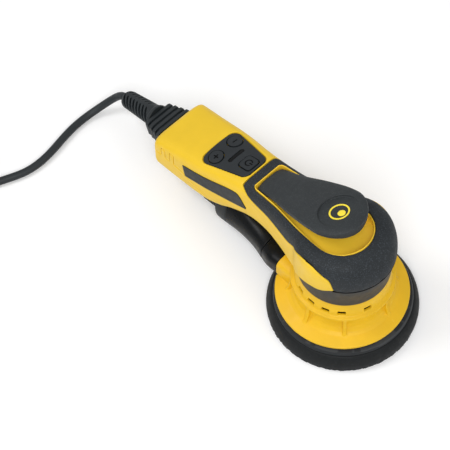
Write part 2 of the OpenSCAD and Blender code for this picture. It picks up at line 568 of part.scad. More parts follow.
// Outline of the lever's recess in the rim plane, moved in by g
nose_x = 84.6;
nose_r = 25.2;
RECESS = [[0, 13.4], [2, 15.4], [5, 16.2], [12, 16.6], [30, 18.2], [57, 22.6], [75, 24.7], [nose_x, nose_r]];
recess_xs = concat([0, 0.8, 2, 3.4, 5], range(12, 75, 7), [80]);
function recess_side(g) = [for (x = recess_xs) [max(x, g), curve(RECESS, x) - g]];
function flip_y(c) = [for (i = [len(c) - 1 : -1 : 0]) [c[i][0], -c[i][1]]];
function recess_outline(g) = concat(recess_side(g),
    [for (a = [90 : -9 : -90]) [nose_x + (nose_r - g) * cos(a), (nose_r - g) * sin(a)]], flip_y(recess_side(g)));
module lever_recess(g, low, tall) on_rim() translate([0, 0, low]) linear_extrude(tall) polygon(recess_outline(g));

// Keypad outline on the sloping top, grown by g
key_x = -13.8;
power_x = 14.6;
led_x = -0.8;
pad_rear = 13.6;
pad_front = 7;
pad_corner = 5;
function corner(x, y, r, from, to) = [for (a = spread(from, to, 6)) [x + r * cos(a), y + r * sin(a)]];
function keypad_side(g) = concat(corner(pad_corner - keypad_len / 2, pad_rear, pad_corner + g, 180, 79),
    corner(keypad_len / 2 - pad_corner, pad_front, pad_corner + g, 79, 0));
module keypad_plan(g) polygon(concat(keypad_side(g), flip_y(keypad_side(g))));
crown_r = 78;
keypad_proud = 0.8;
module crown(up) translate([-60, 0, up - crown_r]) rotate([0, 90, 0]) cylinder(r = crown_r, h = 120, $fn = 180);
board_z = -9;

// The lever swings on a pin under its rear end
lever_rear_x = rim_x + 2.4;
lever_front_x = lever_rear_x + lever_len - 0.4;
lever_round_x = lever_front_x - lever_w / 2;
pin_x = rim_x + 10;
pin_z = rim_top(pin_x) - recess_d - 1.2 - lever_pin_d / 2;
pin_half = 16.5;
knuckle_w = 16;
knuckle_r = 4.4;
knuckle_pocket = [14, knuckle_w + 2, 20];

// The parting line of the rear cover, moved back by g
cover_len = 76;
cover_z = belly_z + 24.5;
// Place, width and height of the tabs on either side
COVER_TABS = [[10, 5, 9], [20, 5, 12]];
function cover_line(g) = [[-20, -5], [-20, cover_z - g], [33, cover_z - g], [cover_len - g, belly_z + 9 - g],
    [cover_len - g, -5]];
module cover_part(g) translate([-handle_len, 0, 0]) {
    translate([0, 40, 0]) rotate([90, 0, 0]) linear_extrude(80) polygon(cover_line(g));
    for (s = [-1, 1], t = COVER_TABS) translate([t[0] + g, 33 * s - 12, cover_z - 3])
        cube([t[1] - 2 * g, 24, t[2] + 3 - g]);
}
cover_screw_d = 3;
module cover_screw_places() for (s = [-1, 1]) translate([13 - handle_len, s * (handle_w / 2 - 6), belly_z + 14]) children();
module housing_body() difference() {
    loft([for (x = housing_xs) housing_ring(x)]);
    translate([0, 0, 50]) cylinder(r = collar_r + collar_gap, h = 90);
    on_fitting() translate([0, 0, -14]) cylinder(r = flange_r + move_gap, h = cuff_start + 14.6);
    on_fitting() cylinder(d = cuff_d + 5, h = 130);
    on_cable() translate([0, 0, -40]) cylinder(d = cord_d + 1.2, h = 60);
    cover_screw_places() {
        translate([0, 0, -30]) cylinder(d = 2 * cover_screw_d + 0.6, h = 30);
        translate([0, 0, -1]) cylinder(d = cover_screw_d + 2 * seat_gap, h = 20);
    }
}
module housing_shell() color(yellow) difference() {
    housing_body();
    cover_part(0);
    lever_recess(0, -recess_d, 40);
    on_top(-keypad_x) {
        translate([0, 0, -2.4 - seat_gap]) linear_extrude(20) keypad_plan(seat_gap);
        for (s = [-1, 1]) translate([key_x, s * key_pitch / 2, -8]) cylinder(d = key_d + 2 * move_gap, h = 10);
        translate([0, 0, -8]) linear_extrude(10) power_plan(move_gap);
        translate([-52, -16, -18.5]) cube([74, 32, 13.5]);
    }
    translate([pin_x - knuckle_pocket[0] / 2, -knuckle_pocket[1] / 2, pin_z - knuckle_r - 1]) cube(knuckle_pocket);
    translate([pin_x, pin_half + seat_gap, pin_z]) rotate([90, 0, 0])
        cylinder(d = lever_pin_d + 2 * seat_gap, h = 2 * (pin_half + seat_gap));
}
module rear_cover() color(yellow) intersection() {
    housing_body();
    cover_part(seat_gap);
}
module cover_screws() color(steel) cover_screw_places() {
    translate([0, 0, -2.6 - seat_gap]) cylinder(d = 2 * cover_screw_d, h = 2.6);
    translate([0, 0, -1]) cylinder(d = cover_screw_d, h = 19.5);
}

// Under the soft grip, a stiff cover closes the motor and holds the upper bearing
cover_xs = concat(range(-38, 0, 4), [9, 18, tip_x + 4, 29, 33, 36, 38.2, 39.8, 40.6]);
function cover_ring(x) = concat([for (a = spread(0, 180, 14)) section_point(x, a, grip_t + seat_gap)],
    [for (i = [14 : -1 : 0]) let(p = section_point(x, 180 * i / 14, grip_t + seat_gap)) [p[0], p[1], seam_z - 8]]);
module top_cover() color(grey) difference() {
    intersection() {
        loft([for (x = cover_xs) cover_ring(x)]);
        translate([0, 0, seam_z + 0.1]) cylinder(r = collar_r, h = 60);
    }
    lever_recess(0, -recess_d, 40);
    translate([0, 0, seam_z - 1]) cylinder(d = stator_d + 0.6, h = upper_bearing_z - seam_z + 0.6);
    translate([0, 0, seam_z]) cylinder(d = motor_bearing_d + 2 * seat_gap,
        h = upper_bearing_z + motor_bearing_h + seat_gap - seam_z);
}
grip_xs = concat(range(grip_x + 0.2, elbow_x, 7), range(-60, 14, 8),
    [tip_x, tip_x + 1.2, 25, 29, 32.5, 35.5, 37.8, 39.4, 40.3, 40.7]);
function grip_ring(x) = let(g = grip_edge(x)) concat(
    [for (a = spread(g + 0.4, 179.6 - g, 18)) section_point(x, a)],
    [for (a = spread(178.2 - g, g + 1.8, 18)) section_point(x, a, grip_t - seat_gap)]);
module head_grip() color(black) difference() {
    loft([for (x = grip_xs) grip_ring(x)]);
    lever_recess(0, -recess_d - 4, 44);
}
bed_t = 1.3;
module lever_bed() color(yellow) difference() {
    lever_recess(seat_gap, seat_gap - recess_d, recess_d - seat_gap + 0.3);
    lever_recess(bed_t + seat_gap, bed_t - recess_d, 40);
    translate([pin_x - knuckle_pocket[0] / 2, -knuckle_pocket[1] / 2, pin_z - 8]) cube(knuckle_pocket);
}

// Lever: crowned top line, plan with a round front, flat underside
LEVER_TOP = [[lever_rear_x, rim_top(lever_rear_x) - 0.3], [-60, 109.6], [-35, 122.8], [-20, 130.2], [-9, 134.4],
    [2, 136.6], [lever_front_x, 136.4]];
LEVER_W = [[lever_rear_x, lever_rear_w / 2 - 0.6], [-75, 13.8], [-66, 15.2], [-57, 17.2], [-45, 20], [-31.7, 22.5],
    [-22, 24], [lever_round_x, lever_w / 2], [lever_round_x + 8, lever_w / 2 + 0.6]];
LEVER_T = [[lever_rear_x, lever_t * 0.45], [-60, lever_t * 0.78], [-35, lever_t], [lever_front_x, lever_t]];
lever_crown = 3.4;
function lever_top(x) = curve(LEVER_TOP, x);
function lever_half(x) = x < lever_round_x ? curve(LEVER_W, x) :
    sqrt(max(0.1, pow(lever_w / 2, 2) - pow(x - lever_round_x, 2)));
lever_xs = concat([lever_rear_x, lever_rear_x + 0.8, lever_rear_x + 2.4], range(-76, lever_round_x, 9),
    [for (s = [14, 28, 42, 55, 66, 76, 84, 88]) lever_round_x + lever_w / 2 * sin(s)]);
function rear_pull(x) = x - lever_rear_x < 2.4 ? pow((2.4 - x + lever_rear_x) / 2.4, 2) * 2.2 : 0;
function lever_ring(x) = let(w = lever_half(x) - rear_pull(x), t = curve(LEVER_T, x)) concat(
    [for (a = spread(0, 180, 16)) let(p = round_at(a, 2.5))
        [x, w * p * cos(a), lever_top(x) - lever_crown + lever_crown * p * sin(a)]],
    [for (a = spread(190, 350, 16)) let(p = round_at(a, 6))
        [x, w * p * cos(a), lever_top(x) - lever_crown + (t - lever_crown) * p * sin(a)]]);
dimple_x = -9;
dimple_deep = 1.6;
dimple_tilt = atan((lever_top(dimple_x + 1) - lever_top(dimple_x - 1)) / 2);
magnet_x = -66;
magnet_d = 5;
magnet_h = 3;
function lever_low(x) = lever_top(x) - curve(LEVER_T, x);
module on_dimple() translate([dimple_x, 0, lever_top(dimple_x)]) rotate([0, -dimple_tilt, 0])
    translate([0, 0, -dimple_deep]) children();
module lever() color(black) difference() {
    union() {
        loft([for (x = lever_xs) lever_ring(x)]);
        translate([pin_x, knuckle_w / 2, pin_z]) rotate([90, 0, 0]) cylinder(r = knuckle_r, h = knuckle_w);
        translate([0, knuckle_w / 2, 0]) rotate([90, 0, 0]) linear_extrude(knuckle_w) polygon([
            [pin_x - knuckle_r + 0.4, pin_z], [pin_x + knuckle_r - 0.4, pin_z],
            [pin_x + knuckle_r, lever_low(pin_x + knuckle_r) + 1.4],
            [pin_x - knuckle_r, lever_low(pin_x - knuckle_r) + 1.4]]);
    }
    translate([pin_x, 30, pin_z]) rotate([90, 0, 0]) cylinder(d = lever_pin_d + 2 * run_gap, h = 60);
    on_dimple() cylinder(d = dimple_d, h = 12);
    translate([magnet_x, 0, lever_low(magnet_x) - 4]) cylinder(d = magnet_d + 2 * seat_gap, h = 4 + magnet_h);
}
mark_t = 0.4;
module lever_mark() color(yellow) on_dimple() translate([0, 0, 0.02]) {
    ring(8.4, 7, mark_t);
    translate([2.6, 0, 0]) cylinder(r = 3.2, h = mark_t);
}
module lever_magnet() color(steel) translate([magnet_x, 0, lever_low(magnet_x) - 0.2]) cylinder(d = magnet_d, h = magnet_h);
module lever_pin() color(steel) translate([pin_x, pin_half, pin_z]) rotate([90, 0, 0])
    cylinder(d = lever_pin_d, h = 2 * pin_half);
spring_x = -45;
spring_r = 3.6;
spring_wire = 0.5;
spring_turns = 5;
spring_low = rim_top(spring_x + spring_r + 1) - recess_d + bed_t + 1.1;
spring_high = lever_low(spring_x - spring_r - 1) - 0.9;
spring_path = [for (i = [0 : 12 * spring_turns]) let(a = i * 30)
    [spring_x + spring_r * cos(a), spring_r * sin(a), spring_low + (spring_high - spring_low) * i / (12 * spring_turns)]];
module lever_spring() color(steel) loft(tube(spring_path, spring_wire, 6));

// Side plates: thin patches that follow the housing's flanks
plate_proud = 0.6;
PLATE_LOW = [[-157, 51], [-126, 60], [-95, 70], [-88, 75.5]];
PLATE_HIGH = [[-157, 64], [-126, 74], [-95, 83.6], [-88, 77.5]];
function flank(x, z, out) = [x, -side_at(x, z, out), z];
function plate_ring(x) = let(zs = spread(curve(PLATE_LOW, x), curve(PLATE_HIGH, x), 4)) concat(
    [for (z = zs) flank(x, z, 0.05)], [for (i = [4 : -1 : 0]) flank(x, zs[i], plate_proud)]);
plate_xs = concat(range(-157, -96, 8), [-93, -90.5, -88.4]);
module side_plate() loft([for (x = plate_xs) plate_ring(x)]);
module side_plate_right() color(black) side_plate();
module side_plate_left() color(black) mirror([0, 1, 0]) side_plate();

// Keypad with three keys and a lens
module led_slot(g, low) translate([led_x - 1.5 - g, -8 - g, low]) cube([3 + 2 * g, 16 + 2 * g, 10]);
module power_plan(g) polygon([for (p = oval(power_w / 2 + g, power_w / 2 + g, 4.5, 40)) [power_x + p[0], p[1]]]);
module keypad() color(black) on_top(-keypad_x) difference() {
    intersection() {
        translate([0, 0, -2.4]) linear_extrude(8) keypad_plan(0);
        crown(keypad_proud);
    }
    for (s = [-1, 1]) translate([key_x, s * key_pitch / 2, -5]) cylinder(d = key_d + 2 * move_gap, h = 10);
    translate([0, 0, -5]) linear_extrude(10) power_plan(move_gap);
    led_slot(seat_gap, -5);
}
key_proud = 1.3;
key_low = -4;
module speed_key(s) on_top(-keypad_x) intersection() {
    translate([key_x, s * key_pitch / 2, key_low]) cylinder(d = key_d, h = 12);
    crown(key_proud);
}
module plus_key() color(black) difference() {
    speed_key(-1);
    on_top(-keypad_x) translate([key_x, -key_pitch / 2, 0.3]) {
        translate([-2.4, -0.5, 0]) cube([4.8, 1, 4]);
        translate([-0.5, -2.4, 0]) cube([1, 4.8, 4]);
    }
}
module minus_key() color(black) difference() {
    speed_key(1);
    on_top(-keypad_x) translate([key_x - 0.5, key_pitch / 2 - 2.4, 0.3]) cube([1, 4.8, 4]);
}
module power_key() color(black) on_top(-keypad_x) difference() {
    intersection() {
        translate([0, 0, key_low]) linear_extrude(12) power_plan(0);
        crown(key_proud);
    }
    translate([power_x, 0, key_proud - 0.6]) difference() {
        ring(3.4, 2.5, 4);
        translate([0, -1.3, -1]) cube([5, 2.6, 8]);
    }
    translate([power_x + 1, -0.5, key_proud - 0.6]) cube([3.2, 1, 4]);
}
module led_lens() color([0.75, 0.85, 0.8]) on_top(-keypad_x) intersection() {
    led_slot(0, -2.4);
    crown(keypad_proud + 0.1);
}
module control_board() color(green) on_top(-keypad_x) difference() {
    translate([-48, -14.5, board_z]) cube([66, 29, 1.6]);
    for (x = [-44, 14], y = [-11.5, 11.5]) translate([x, y, board_z - 1]) cylinder(d = 3, h = 4);
}
module capacitors() color(grey) on_top(-keypad_x) for (i = [0 : 2])
    translate([-38 + i * 12.5, 0, board_z - seat_gap - 8.5]) cylinder(d = 10, h = 8.5);
module heat_sink() color(steel) on_top(-keypad_x) translate([0, -12, board_z - seat_gap - 2]) {
    cube([16, 24, 2]);
    for (i = [0 : 4]) translate([0, i * 5.4, -5]) cube([16, 2, 5.5]);
}

// Cable outlet: folded bellows, notched boot and the mains lead
module soft_box(w, h, r) polygon([for (p = oval(w, h, 4.5, 40)) [p[1], p[0]]]);
fold_step = bellows_len / bellows_folds;
module cable_bellows() color(black) difference() {
    on_cable() for (i = [0 : bellows_folds - 1]) let(k = i / bellows_folds) {
        translate([0, 0, i == 0 ? -4 : i * fold_step - 0.6]) linear_extrude(fold_step + (i == 0 ? 4 : 0.6))
            soft_box(14.6 - 4.6 * k, 6.2 - 0.9 * k, 2);
        translate([0, 0, (i + 0.3) * fold_step]) linear_extrude(fold_step * 0.55)
            soft_box(18.4 - 5.2 * k, 8.2 - 0.6 * k, 2);
    }
    translate([0.1 - handle_len - seat_gap, -40, 0]) cube([40, 80, 100]);
}
boot_r = 9.8;
boot_end_r = 7.8;
boot_top = bellows_len + boot_len;
notch_step = (boot_len - 8) / boot_notches;
function boot_at(s) = boot_r + (boot_end_r - boot_r) * s / boot_len;
module cable_boot() color(black) on_cable() rotate_extrude() polygon(concat([[0, bellows_len + seat_gap]],
    [[boot_at(0) + 1.4, bellows_len + seat_gap], [boot_at(0) + 1.4, bellows_len + 3]],
    [for (i = [0 : boot_notches - 1]) let(s = 4 + i * notch_step) each [
        [boot_at(s) - 1.5, bellows_len + s], [boot_at(s) - 1.5, bellows_len + s + notch_step * 0.4],
        [boot_at(s), bellows_len + s + notch_step * 0.45], [boot_at(s), bellows_len + s + notch_step * 0.95]]],
    [[boot_end_r, boot_top - 1.4], [boot_end_r - 1, boot_top], [0, boot_top]]));

// The lead's route, in hand-placed points smoothed by a uniform cubic spline
cord_r = cord_d / 2;
floor_z = cord_r;
coil_low = cord_r + 1;
boot_dir = [-cos(cable_droop), 0, -sin(cable_droop)];
cord_start = [-handle_len, 0, gland_z] + (boot_top + 0.1) * boot_dir;
coil_heading = unit([-3.7, -9.3, 0]);
coil_entry = [-308, -183, coil_low];
ROUTE = [cord_start, cord_start + 6 * boot_dir, [-270.5, -2, 19], [-280, -16, 5], [-282, -36, floor_z],
    [-279, -55, floor_z + 1], [-274, -77, floor_z + 0.6], [-274, -98, floor_z + 0.1], [-279, -112, floor_z + 0.1],
    [-285, -126, floor_z + 0.2], [-292, -143, floor_z + 0.4], [-299, -160, floor_z + 0.7],
    coil_entry - 8 * coil_heading, coil_entry];
function held(c, i) = c[max(0, min(len(c) - 1, i))];
function spline_at(c, i, t) = (pow(1 - t, 3) * held(c, i - 1) + (3 * t * t * t - 6 * t * t + 4) * held(c, i)
    + (3 * t + 3 * t * t - 3 * t * t * t + 1) * held(c, i + 1) + t * t * t * held(c, i + 2)) / 6;
cord_path = concat([cord_start], [for (i = [-1 : len(ROUTE) - 1], t = i < 0 ? [0.5] : i == len(ROUTE) - 1 ? [0, 0.5] : [0, 0.5])
    spline_at(ROUTE, i, t)], [coil_entry - 0.05 * coil_heading]);
module cord() color(black) loft(tube(cord_path, cord_r, 10));

// The coil: four layers wound in and out, climbing a layer where the winding turns back
coil_pitch = cord_d + 0.6;
coil_turns = 3.5;
coil_layers = 4;
coil_r = 53.6;
coil_in_r = coil_r - coil_turns * coil_pitch;
coil_side = [coil_heading[1], -coil_heading[0], 0];
coil_mid = coil_entry + coil_r * coil_side;
coil_start = atan2(-coil_side[1], -coil_side[0]);
tail_turns = 0.5;
tail_lift = 3;
tail_in = 23;
function eased(t) = let(k = max(0, min(1, t))) k * k * (3 - 2 * k);
function coil_radius(s) = let(k = floor(s / coil_turns), u = s - k * coil_turns)
    (k % 2 == 0 ? coil_r - coil_pitch * u : coil_in_r + coil_pitch * u)
    - tail_in * eased((s - coil_layers * coil_turns - 0.12) / 0.6);
function coil_level(s) = coil_pitch * (eased((s - coil_turns) * 2 + 0.5) + eased((s - 2 * coil_turns) * 2 + 0.5)
    + eased((s - 3 * coil_turns) * 2 + 0.5) + eased((s - 4 * coil_turns) * 2 + 0.5))
    + tail_lift * eased((s - 4 * coil_turns) * 2);
function coil_point(s) = coil_mid + [coil_radius(s) * cos(coil_start - 360 * s),
    coil_radius(s) * sin(coil_start - 360 * s), coil_level(s)];
coil_end_s = coil_layers * coil_turns + tail_turns;
coil_steps = round(coil_end_s * 24);
coil_turn_points = [for (i = [0 : coil_steps]) coil_point(i * coil_end_s / coil_steps)];
coil_last = coil_turn_points[coil_steps];
tail_heading = unit([for (k = [0, 1]) coil_last[k] - coil_turn_points[coil_steps - 1][k]]);
tail_dir = [tail_heading[0], tail_heading[1], 0];
coil_tail = coil_last + cord_d * tail_dir;
coil_path = concat([coil_entry, coil_entry + 2 * coil_heading], [for (i = [1 : coil_steps]) coil_turn_points[i]], [coil_tail]);
module cord_coil() color(black) loft(tube(coil_path, cord_r, 6));
coil_gap = min([for (i = [0 : coil_steps - 14], j = [i + 13 : coil_steps])
    norm(coil_turn_points[i] - coil_turn_points[j])]) * cos(180 / 24) - cord_d;
function path_length(p) = len(p) < 2 ? 0 : [for (i = 1, s = norm(p[1] - p[0]); i < len(p); i = i + 1,
    s = i < len(p) ? s + norm(p[i] - p[i - 1]) : s) s][len(p) - 2];
echo(coil_gap = coil_gap, cord_length = path_length(cord_path) + path_length(coil_path));
tie_w = 12;
tie_t = 0.8;
tie_angle = coil_start + 62;
tie_tall = coil_layers * coil_pitch + 2.2;
module cord_tie() color(grey) translate([coil_mid[0], coil_mid[1], 0]) rotate([0, 0, tie_angle])
    translate([coil_in_r - cord_r - 1.4, -tie_w / 2, 0]) difference() {
        cube([coil_r - coil_in_r + cord_d + 2.8, tie_w, tie_tall]);
        translate([tie_t, -1, tie_t]) cube([coil_r - coil_in_r + cord_d + 2.8 - 2 * tie_t, tie_w + 2, tie_tall - 2 * tie_t]);
    }
// A flat two-pin plug lies on the coil
plug_t = 13.6;
pin_pitch = 18.6;
plug_face = 40;
module on_plug() translate(coil_tail) rotate([0, 0, atan2(tail_dir[1], tail_dir[0])]) children();
module plug_pin_places(x) for (s = [-1, 1]) translate([x, s * pin_pitch / 2, 0]) rotate([0, 90, 0]) children();
module plug() color(black) on_plug() difference() {
    union() {
        translate([0.1, 0, 0]) rotate([0, 90, 0]) cylinder(r1 = 4.4, r2 = 6.4, h = 16);
        translate([0, 0, -plug_t / 2]) linear_extrude(plug_t) polygon([[13, -7], [19, -12], [29, -17.6],
            [plug_face, -17.6], [plug_face, 17.6], [29, 17.6], [19, 12], [13, 7]]);
    }
    plug_pin_places(plug_face - 8) cylinder(d = 4 + 2 * seat_gap, h = 20);
}
module plug_pins() color(steel) on_plug() plug_pin_places(plug_face - 8 + seat_gap) {
    cylinder(d = 4, h = 26);
    translate([0, 0, 25.9]) cylinder(d1 = 4, d2 = 2.6, h = 1.2);
}

hook_facing();
pad_foam();
pad_plate();
pad_stud();
spindle();
spindle_circlip();
spindle_bearings();
eccentric_hub();
motor_shaft();
cooling_fan();
lower_bearing();
upper_bearing();
rotor_core();
rotor_magnets();
stator_core();
stator_windings();
motor_plate();
motor_screws();
motor_collar();
dust_shroud();
brake_seal();
duct_elbow();
dust_duct();
hose_fitting();
housing_shell();
rear_cover();
cover_screws();
top_cover();
head_grip();
lever_bed();
lever();
lever_mark();
lever_magnet();
lever_pin();
lever_spring();
side_plate_right();
side_plate_left();
keypad();
plus_key();
minus_key();
power_key();
led_lens();
control_board();
capacitors();
heat_sink();
cable_bellows();
cable_boot();
cord();
cord_coil();
cord_tie();
plug();
plug_pins();
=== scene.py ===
import json
import math

import bmesh
import bpy
from mathutils import Matrix, Vector, noise


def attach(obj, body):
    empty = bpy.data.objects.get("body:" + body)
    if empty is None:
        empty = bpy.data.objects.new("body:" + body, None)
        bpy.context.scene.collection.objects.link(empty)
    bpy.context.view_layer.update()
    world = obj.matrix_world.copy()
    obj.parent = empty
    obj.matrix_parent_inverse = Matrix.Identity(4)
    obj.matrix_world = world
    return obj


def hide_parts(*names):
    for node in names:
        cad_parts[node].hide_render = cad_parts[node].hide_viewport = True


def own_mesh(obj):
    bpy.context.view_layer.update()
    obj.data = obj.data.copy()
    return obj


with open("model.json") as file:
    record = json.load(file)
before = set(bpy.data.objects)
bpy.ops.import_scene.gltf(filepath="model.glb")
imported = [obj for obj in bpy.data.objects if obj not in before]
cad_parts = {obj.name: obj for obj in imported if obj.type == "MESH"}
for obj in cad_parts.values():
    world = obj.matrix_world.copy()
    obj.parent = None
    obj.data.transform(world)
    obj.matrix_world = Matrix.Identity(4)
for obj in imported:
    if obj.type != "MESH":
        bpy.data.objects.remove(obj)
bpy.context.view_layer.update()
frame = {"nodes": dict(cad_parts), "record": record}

# All sizes below are millimetres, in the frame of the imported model, and become metres in the meshes
MM = 0.001

# Driving sizes of the object
PAD_D = 125
PAD_TOP_D = 113
PAD_HOLES = 8
PAD_HOLE_D = 10
PAD_HOLE_CIRCLE = 80
FACING_T = 2.5
FOAM_T = 14
PLATE_T = 3.5
STUD_D = 6
STUD_FLANGE_D = 26
STUD_FLANGE_H = 2
SPINDLE_FLANGE_D = 22
STATOR_D = 66
ORBIT_OFFSET = 1.25
SHROUD_D = 109.4
SHROUD_GAP = 2.2
SHROUD_WALL = 2.4
SHROUD_RIBS = 8
NECK_D = 80
HANDLE_LEN = 193
HANDLE_W = 54
WAIST_W = 44.6
HEAD_R = 40.8
COLLAR_R = 38.2
COLLAR_H = 26.6
SEAM_Z = 89
TOP_Z = 87.2
HANDLE_SLOPE = 16.7
BELLY_Z = 28
GRIP_T = 2.6
LEVER_LEN = 98
LEVER_W = 49.4
LEVER_REAR_W = 25
LEVER_T = 9
LEVER_PIN_D = 4
KEYPAD_X = 121
KEYPAD_LEN = 45
KEY_D = 12.6
KEY_PITCH = 21.2
POWER_W = 13
DUCT_W = 44
DUCT_H = 31
DUCT_Z = 25.8
DUCT_TILT = 8
CUFF_D = 35
SPIGOT_D = 29
SPIGOT_BORE = 25
SPIGOT_LEN = 24
PORT_W = 60
PORT_H = 22
CORD_D = 6.8
BOOT_LEN = 43
BELLOWS_LEN = 24
CABLE_DROOP = 16.5
SEAT_GAP = 0.15
MOVE_GAP = 0.5
PLATE_Z = FACING_T + FOAM_T
PAD_TOP_Z = PLATE_Z + PLATE_T


def sin(a):
    return math.sin(math.radians(a))


def cos(a):
    return math.cos(math.radians(a))


def spread(a, b, n):
    return [a + (b - a) * i / n for i in range(n + 1)]


def steps(a, b, size):
    return spread(a, b, max(1, round(abs(b - a) / size)))


def curve(c, x):
    """A smooth curve through given points (x, value), by cubic pieces with central slopes."""
    i = max(0, min(len(c) - 2, sum(p[0] <= x for p in c) - 1))

    def slope(k):
        a, b = max(0, k - 1), min(len(c) - 1, k + 1)
        return (c[b][1] - c[a][1]) / (c[b][0] - c[a][0])

    h = c[i + 1][0] - c[i][0]
    t = max(0, min(1, (x - c[i][0]) / h))
    return ((2 * t**3 - 3 * t**2 + 1) * c[i][1] + (t**3 - 2 * t**2 + t) * h * slope(i)
            + (3 * t**2 - 2 * t**3) * c[i + 1][1] + (t**3 - t**2) * h * slope(i + 1))


def round_at(a, n):
    return (abs(cos(a)) ** n + abs(sin(a)) ** n) ** (-1 / n)


def oval(w, h, n, count):
    """An oval flattened by its power n."""
    angles = [(i + 0.5) * 360 / count for i in range(count)]
    return [(w * round_at(a, n) * cos(a), h * round_at(a, n) * sin(a)) for a in angles]


def at(x, y, z, tilt=0.0):
    """A place in the frame, tilted about Y."""
    return Matrix.Translation((x, y, z)) @ Matrix.Rotation(math.radians(tilt), 4, "Y")


# Meshes: lofts, prisms and revolved profiles, cut and rounded as moulded pieces are

def solid(name, points, faces, place=None):
    mesh = bpy.data.meshes.new(name)
    place = place or Matrix.Identity(4)
    mesh.from_pydata([(place @ Vector(p)) * MM for p in points], [], faces)
    bm = bmesh.new()
    bm.from_mesh(mesh)
    bmesh.ops.remove_doubles(bm, verts=bm.verts, dist=1e-7)
    bmesh.ops.dissolve_degenerate(bm, edges=bm.edges, dist=1e-7)
    bmesh.ops.recalc_face_normals(bm, faces=bm.faces)
    bm.to_mesh(mesh)
    bm.free()
    made = bpy.data.objects.new(name, mesh)
    bpy.context.scene.collection.objects.link(made)
    return made


def loft(name, rings, place=None, caps=True):
    n = len(rings[0])
    points = [p for r in rings for p in r]
    faces = [(i * n + j, i * n + (j + 1) % n, (i + 1) * n + (j + 1) % n, (i + 1) * n + j)
             for i in range(len(rings) - 1) for j in range(n)]
    if caps:
        faces += [tuple(range(n)), tuple(range(len(points) - n, len(points)))]
    return solid(name, points, faces, place)


def pipe(name, outer, inner, place=None):
    """A tube with a wall, through matching outer and inner rings."""
    return loft(name, [*outer, *reversed(inner), outer[0]], place, caps=False)


def prism(name, outline, low, high, place=None):
    return loft(name, [[(x, y, z) for x, y in outline] for z in (low, high)], place)


def revolve(name, profile, place=None, count=160):
    """A closed profile (radius, height) turned about Z."""
    rings = [[(r * cos(a), r * sin(a), z) for r, z in profile] for a in spread(0, 360, count)]
    return loft(name, rings, place, caps=False)


def rod(name, r, low, high, place=None, count=96):
    return revolve(name, [(0, low), (r, low), (r, high), (0, high)], place, count)


def block(name, low, high, place=None):
    return loft(name, [[(low[0], low[1], z), (high[0], low[1], z), (high[0], high[1], z),
                        (low[0], high[1], z)]
                       for z in (low[2], high[2])], place)


def turned(angle, x=0.0, y=0.0, z=0.0):
    """A place at an angle round Z."""
    return Matrix.Rotation(math.radians(angle), 4, "Z") @ Matrix.Translation((x, y, z))


def joined(name, pieces):
    """One mesh of several closed forms."""
    bm = bmesh.new()
    for piece in pieces:
        bm.from_mesh(piece.data)
    mesh = bpy.data.meshes.new(name)
    bm.to_mesh(mesh)
    bm.free()
    for piece in pieces:
        bpy.data.objects.remove(piece)
    made = bpy.data.objects.new(name, mesh)
    bpy.context.scene.collection.objects.link(made)
    return made


def settle(piece):
    """Applies the modifiers, so that the final mesh is the piece's own."""
    seen = piece.evaluated_get(bpy.context.evaluated_depsgraph_get())
    mesh = bpy.data.meshes.new_from_object(seen)
    piece.modifiers.clear()
    piece.data = mesh
    return piece


def cut(piece, *tools, how="DIFFERENCE"):
    for tool in tools:
        m = piece.modifiers.new("cut", "BOOLEAN")
        m.operation, m.solver, m.object = how, "EXACT", tool
    settle(piece)
    for tool in tools:
        bpy.data.objects.remove(tool)
    return piece


def copy_of(piece, name):
    made = bpy.data.objects.new(name, piece.data.copy())
    bpy.context.scene.collection.objects.link(made)
    return made


def mould(piece, voxel, rounds):
    """Rebuilds a piece at an even grain with the small radii that a mould leaves on every edge."""
    m = piece.modifiers.new("grain", "REMESH")
    m.mode, m.voxel_size, m.use_smooth_shade = "VOXEL", voxel * MM, True
    s = piece.modifiers.new("radii", "SMOOTH")
    s.factor, s.iterations = 0.5, rounds
    return settle(piece)


def edged(piece, width, segments=3, angle=35):
    """Rounds the sharp edges of a clean loft or revolved piece."""
    m = piece.modifiers.new("edges", "BEVEL")
    m.width, m.segments, m.limit_method = width * MM, segments, "ANGLE"
    m.angle_limit = math.radians(angle)
    m.use_clamp_overlap = True
    settle(piece)
    piece.data.shade_smooth()
    piece.data.set_sharp_from_angle(angle=math.radians(50))
    return piece


def roughen(piece, size, height):
    """Moves the surface in and out by a fixed noise, as a fibre or foam face has it."""
    out = [v.normal.copy() for v in piece.data.vertices]
    for v, normal in zip(piece.data.vertices, out):
        v.co += normal * height * MM * noise.noise(v.co / (size * MM))
    return piece


def from_node(node, name, voxel, rounds):
    """A moulded copy of a node's own solid."""
    made = copy_of(frame["nodes"][node], name)
    bm = bmesh.new()
    bm.from_mesh(made.data)
    bmesh.ops.remove_doubles(bm, verts=bm.verts, dist=1e-6)
    bm.to_mesh(made.data)
    bm.free()
    made.data.materials.clear()
    return mould(made, voxel, rounds)


def dress(piece, material, body, slot, *nodes):
    piece.data.materials.clear()
    piece.data.materials.append(material)
    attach(piece, body)
    if nodes:
        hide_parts(*nodes)
    return piece


# Materials

def linear(*rgb):
    return [((c / 255 + 0.055) / 1.055) ** 2.4 if c > 10 else c / 255 / 12.92 for c in rgb] + [1]


FLECK = 0.9


